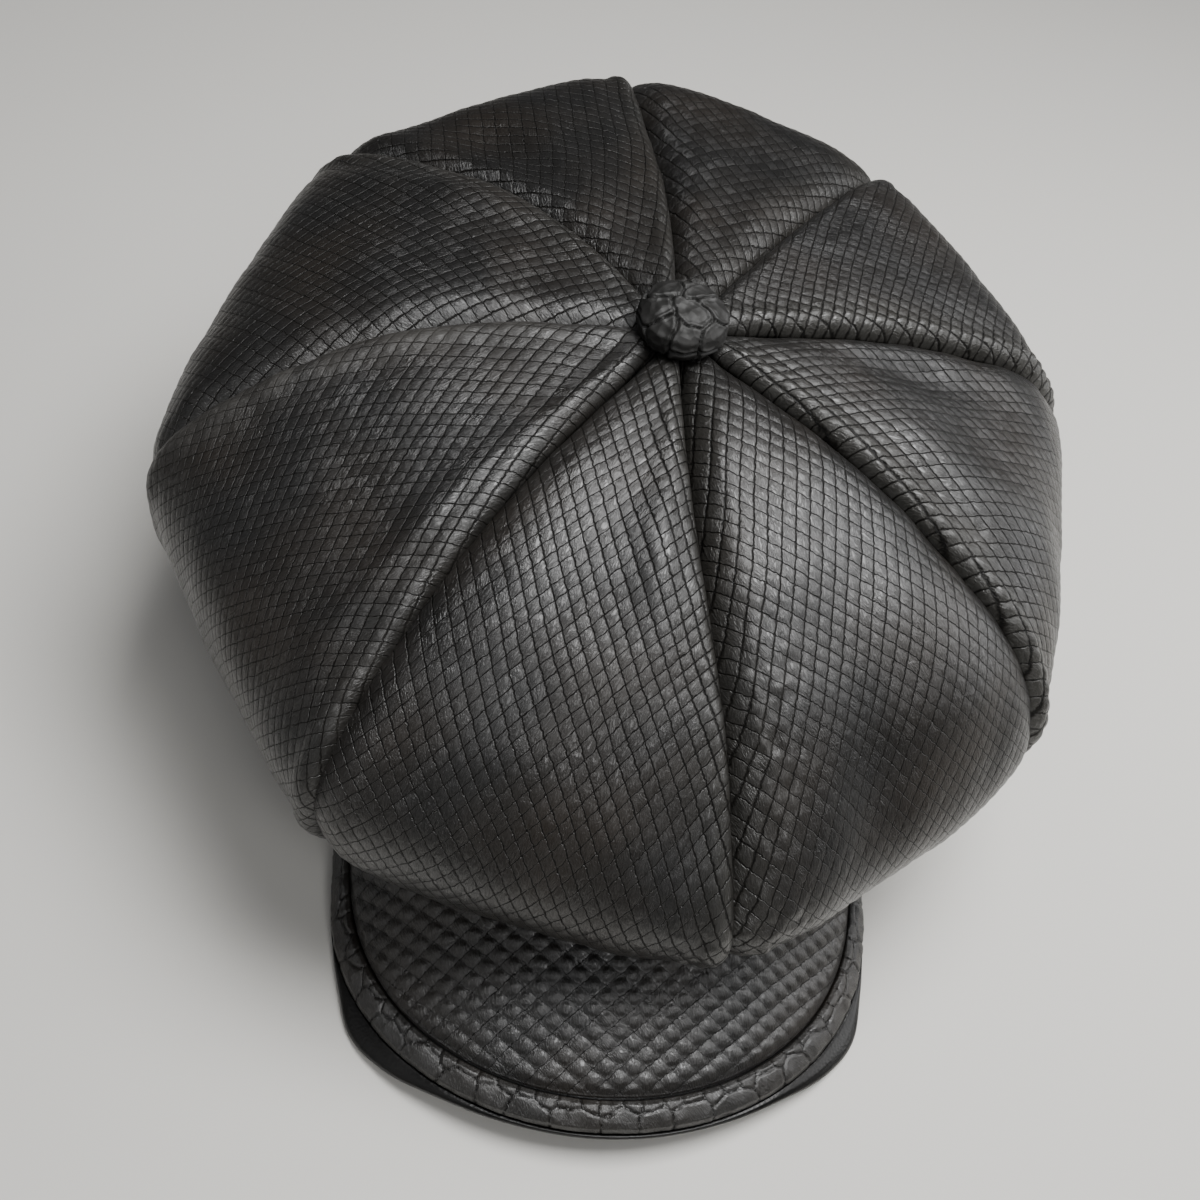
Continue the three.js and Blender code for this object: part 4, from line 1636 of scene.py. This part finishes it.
@dataclass
class Peak:
    """The curved peak: a beaded top, a border of large scales, and a glossy underside."""

    shift: np.ndarray
    gap: float = 0.3
    top_wall: float = 2.0
    top_cells: tuple[int, int] = (300, 96)
    top_back_cells: tuple[int, int] = (50, 16)
    under_wall: float = 2.5
    under_cells: tuple[int, int] = (56, 260)
    border_rise: float = 3.0
    border_cells: tuple[int, int] = (44, 760)
    # Share of the border's width and of its height at each corner of its section
    border_section: tuple[tuple[float, float], ...] = (
        (0, 0),
        (0, 0.55),
        (0.14, 0.88),
        (0.34, 0.99),
        (0.5, 1),
        (0.68, 0.95),
        (0.86, 0.82),
        (1, 0.4),
        (1, 0),
        (0.66, 0),
        (0.33, 0),
    )
    plate_rows: tuple[PlateRow, ...] = (
        PlateRow(pace=11.5, sway=2.2, sway_rate=4.7, across=0.66, swing=0.07, swing_rate=2.9),
        PlateRow(pace=6.1, sway=1.2, sway_rate=3.7, across=0.12, swing=0.05, swing_rate=5.9, handicap=1.6),
    )
    plate_wide: float = 8.5
    plate_short: float = 0.8
    crack_deep: float = 0.42
    crack_wide: float = 1.3
    groove: float = 0.6
    lip_rise: float = 1.3
    bead_wide: float = 7.2
    bead_long: float = 6.3
    bead_rise: float = 0.6
    bead_round: float = 0.5
    hem_dip: float = 0.7

    def border_width(self, length: np.ndarray) -> np.ndarray:
        """Width of the border on lines of a given length."""
        return np.minimum(PEAK.border, 0.45 * length)

    def beads(self, u: np.ndarray, v: np.ndarray) -> tuple[np.ndarray, np.ndarray]:
        """The beads, which stand in slanting rows.

        Args:
            u: places across the peak in mm.
            v: places along it in mm.

        Returns:
            Scale coordinates, and each place's share of a bead's height.
        """
        across = u / self.bead_wide
        along = v / self.bead_long
        lattice = np.stack([across + along, along - across], -1)
        cell = 2 * (lattice - np.floor(lattice)) - 1
        return lattice, np.clip(1 - 1.25 * (cell**2).sum(-1), 0, 1) ** self.bead_round

    def build_top(self, finishes: Finishes) -> bpy.types.Object:
        """Makes the beaded top sheet.

        Args:
            finishes: the cap's materials.

        Returns:
            The piece.
        """
        mesh, place = sheet_grid("peak_top_leather", self.top_cells, self.top_back_cells)
        share = 2 * place[:, 0] - 1
        back = place[:, 2] > 0.5
        height = self.gap / 2 + np.where(back, 0, self.top_wall)
        length = PEAK.lengths(share)[..., -1]
        end = length - self.border_width(length)
        start = PEAK.start(share, height)
        distance = start + (end - start) * place[:, 1]
        x, y, _ = PEAK.place(share, distance, 0 * distance).T
        u = x + 0.4 * waves(x, y, 40, 1)
        v = -y * 1.1 + 0.5 * waves(y, x, 37, 2)
        lattice, bead = self.beads(u, v)
        edge = np.minimum(end - distance, (1 - np.abs(share)) * 90)
        rise = self.bead_rise * bead * np.clip((edge - 1.0) / 2, 0, 1)
        rise -= self.hem_dip * np.exp(-(((end - distance) / 2) ** 2))
        rise = np.where(back, 0, rise * np.clip(distance / 4, 0, 1))
        set_points(mesh, PEAK.place(share, distance, height + rise), self.shift)
        keep_outward(mesh)
        set_uv(mesh, "lattice", lattice)
        set_uv(mesh, "skin", np.stack([u, v], -1))
        set_share(mesh, "wear", 0.1 * bead)
        part = Part("peak_top", "peak_leather")
        return finish_piece("peak_top_leather", mesh, part, [finishes.peak, finishes.suede])

    def plate_at(self, s: np.ndarray, t: np.ndarray, total: float) -> np.ndarray:
        """Where the border's scales lie.

        Args:
            s: distances along the border in mm.
            t: shares across it.
            total: the border's length in mm.

        Returns:
            1 on a scale and 0 in a crack between two.
        """
        seeds = np.concatenate([row.seeds(total) for row in self.plate_rows])
        along = (s + 0.6 * waves(s, t * 9, 7, 3))[:, None] - seeds[None, :, 0]
        across = (t[:, None] - seeds[None, :, 1]) * self.plate_wide
        away = np.sort(np.hypot(along * self.plate_short, across) + seeds[:, 2], axis=1)
        return smooth_step(away[:, 1] - away[:, 0], 0, self.crack_wide)

    def build_border(self, finishes: Finishes) -> bpy.types.Object:
        """Makes the padded border with its large scales.

        Args:
            finishes: the cap's materials.

        Returns:
            The piece.
        """
        mesh, place = loop_rows("peak_border_leather", *self.border_cells)
        share = 2 * place[:, 1] - 1
        length = PEAK.lengths(share)[..., -1]
        width = self.border_width(length) - self.groove
        begin = length - width
        base = 0 * share + self.gap / 2
        corners = [(begin + a * width, base + b * self.border_rise) for a, b in self.border_section]
        distance, height = section_at(place[:, 0], corners)
        shares = np.linspace(-1, 1, 400)
        steps = np.linalg.norm(np.diff(PEAK.edge(shares), axis=0), axis=1)
        travel = np.concatenate([[0], np.cumsum(steps)])
        s = np.interp(share, shares, travel)
        t = (distance - begin) / np.maximum(width, 0.1)
        plate = self.plate_at(s, t, travel[-1])
        relief = self.crack_deep * (plate - 1) + 0.3 * waves(s, t * 9, 6, 8)
        height = height + smooth_step(height - base, 0.35, 1.4) * relief
        set_points(mesh, PEAK.place(share, distance, height), self.shift)
        # The material's grooves lie at whole numbers, here in the cracks alone
        set_uv(mesh, "lattice", np.stack([0.5 * plate**3, 0.5 + 0 * plate], -1))
        set_uv(mesh, "skin", np.stack([s, t * 9], -1))
        set_share(mesh, "wear", 0.16 * plate)
        close_tube(mesh)
        part = Part("peak_border", "peak_leather")
        return finish_piece("peak_border_leather", mesh, part, [finishes.peak])

    def build_underside(self, finishes: Finishes) -> bpy.types.Object:
        """Makes the smooth underside, whose rounded lip shows past the border.

        Args:
            finishes: the cap's materials.

        Returns:
            The piece.
        """
        mesh, place = loop_rows("peak_underside_leather", *self.under_cells)
        share = 2 * place[:, 1] - 1
        edge = PEAK.lengths(share)[..., -1]
        lip = PEAK.lip(share)
        top = 0 * share - self.gap / 2
        foot = top - self.under_wall
        nose = edge + lip
        low_start = PEAK.start(share, foot)
        high_start = PEAK.start(share, top)
        corners = [(low_start + (edge - low_start) * i / 4, foot) for i in range(5)]
        corners += [
            (nose - 0.45 * lip, foot),
            (nose - 0.12 * lip, foot + 0.2 * self.under_wall),
            (nose, 0.5 * (foot + top)),
            (nose, top + 0.1 * self.lip_rise),
            (nose - 0.14 * lip, top + 0.7 * self.lip_rise),
            (nose - 0.5 * lip, top + self.lip_rise),
            (edge + self.gap, top + 0.7 * self.lip_rise),
            (edge + self.gap, top),
        ]
        corners += [(high_start + (edge - high_start) * i / 4, top) for i in (3, 2, 1, 0)]
        distance, height = section_at(place[:, 0], corners)
        set_points(mesh, PEAK.place(share, distance, height), self.shift)
        close_tube(mesh)
        part = Part("peak_underside", "smooth_leather")
        return finish_piece("peak_underside_leather", mesh, part, [finishes.gloss])

    def build(self, finishes: Finishes) -> list[bpy.types.Object]:
        """Makes the peak's pieces."""
        return [self.build_top(finishes), self.build_border(finishes), self.build_underside(finishes)]


@dataclass(frozen=True)
class Lamp:
    """A square soft light that is aimed at the cap, with sizes in metres and power in watts."""

    name: str
    place: tuple[float, float, float]
    size: float
    power: float
    aim: tuple[float, float, float] = (0, 0, 0.07)

    def build(self) -> None:
        """Hangs the light."""
        data = bpy.data.lights.new(self.name, "AREA")
        data.size = self.size
        data.energy = self.power
        lamp = bpy.data.objects.new(self.name, data)
        turn = (Vector(self.aim) - Vector(self.place)).to_track_quat("-Z", "Y").to_matrix().to_4x4()
        lamp.matrix_world = Matrix.Translation(self.place) @ turn
        bpy.context.scene.collection.objects.link(lamp)


@dataclass
class Studio:
    """A pale floor, soft lights and the camera."""

    camera_place: tuple[float, float, float] = (-0.0642, -0.2826, 0.3889)
    azimuth: float = -12.29
    elevation: float = 50.0
    roll: float = 12.66
    lens: float = 42.0
    sensor: float = 36.0
    floor_size: float = 14.0
    floor_colour: str = "#cfcdc8"
    sky: tuple[float, float, float, float] = (0.8, 0.82, 0.85, 1)
    sky_strength: float = 0.12
    lamps: tuple[Lamp, ...] = (
        Lamp("key", (0.2, 0.0, 0.8), 0.45, 10.6),
        Lamp("side", (0.85, 0.08, 0.42), 0.6, 4.0),
        Lamp("front", (0.16, -0.72, 0.86), 0.3, 2.4),
        Lamp("fill", (-0.6, -0.4, 0.6), 0.8, 1.0),
    )

    def build_floor(self) -> None:
        """Lays the floor: painted board, matt and pale, which throws soft light back up."""
        bm = bmesh.new()
        bmesh.ops.create_grid(bm, x_segments=1, y_segments=1, size=self.floor_size)
        mesh = mesh_from(bm, "floor")
        material, _ = new_material("pale_board", Base_Color=linear(self.floor_colour), Roughness=0.85)
        mesh.materials.append(material)
        floor = bpy.data.objects.new("floor", mesh)
        bpy.context.scene.collection.objects.link(floor)

    def build_camera(self) -> None:
        """Puts the camera where the photograph was taken from."""
        data = bpy.data.cameras.new("camera")
        data.lens = self.lens
        data.sensor_width = self.sensor
        camera = bpy.data.objects.new("camera", data)
        turn = Matrix.Rotation(math.radians(self.azimuth), 4, "Z")
        turn = turn @ Matrix.Rotation(math.radians(90 - self.elevation), 4, "X")
        turn = turn @ Matrix.Rotation(math.radians(self.roll), 4, "Z")
        camera.matrix_world = Matrix.Translation(self.camera_place) @ turn
        bpy.context.scene.collection.objects.link(camera)
        bpy.context.scene.camera = camera

    def build(self) -> None:
        """Makes the floor, the lights, the surroundings and the camera."""
        self.build_floor()
        for lamp in self.lamps:
            lamp.build()
        world = bpy.data.worlds.new("studio")
        world.use_nodes = True
        background = world.node_tree.nodes["Background"]
        background.inputs["Color"].default_value = self.sky
        background.inputs["Strength"].default_value = self.sky_strength
        bpy.context.scene.world = world
        self.build_camera()


def main() -> None:
    """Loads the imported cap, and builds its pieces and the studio."""
    logging.basicConfig(level=logging.INFO, format="%(message)s")
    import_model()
    shift = FRAME.shift()
    finishes = make_finishes()
    Crown(shift).build(finishes)
    Button(shift).build(finishes)
    Headband(shift).build(finishes)
    Peak(shift).build(finishes)
    Studio().build()
    bpy.context.view_layer.update()


if __name__ == "__main__":
    main()
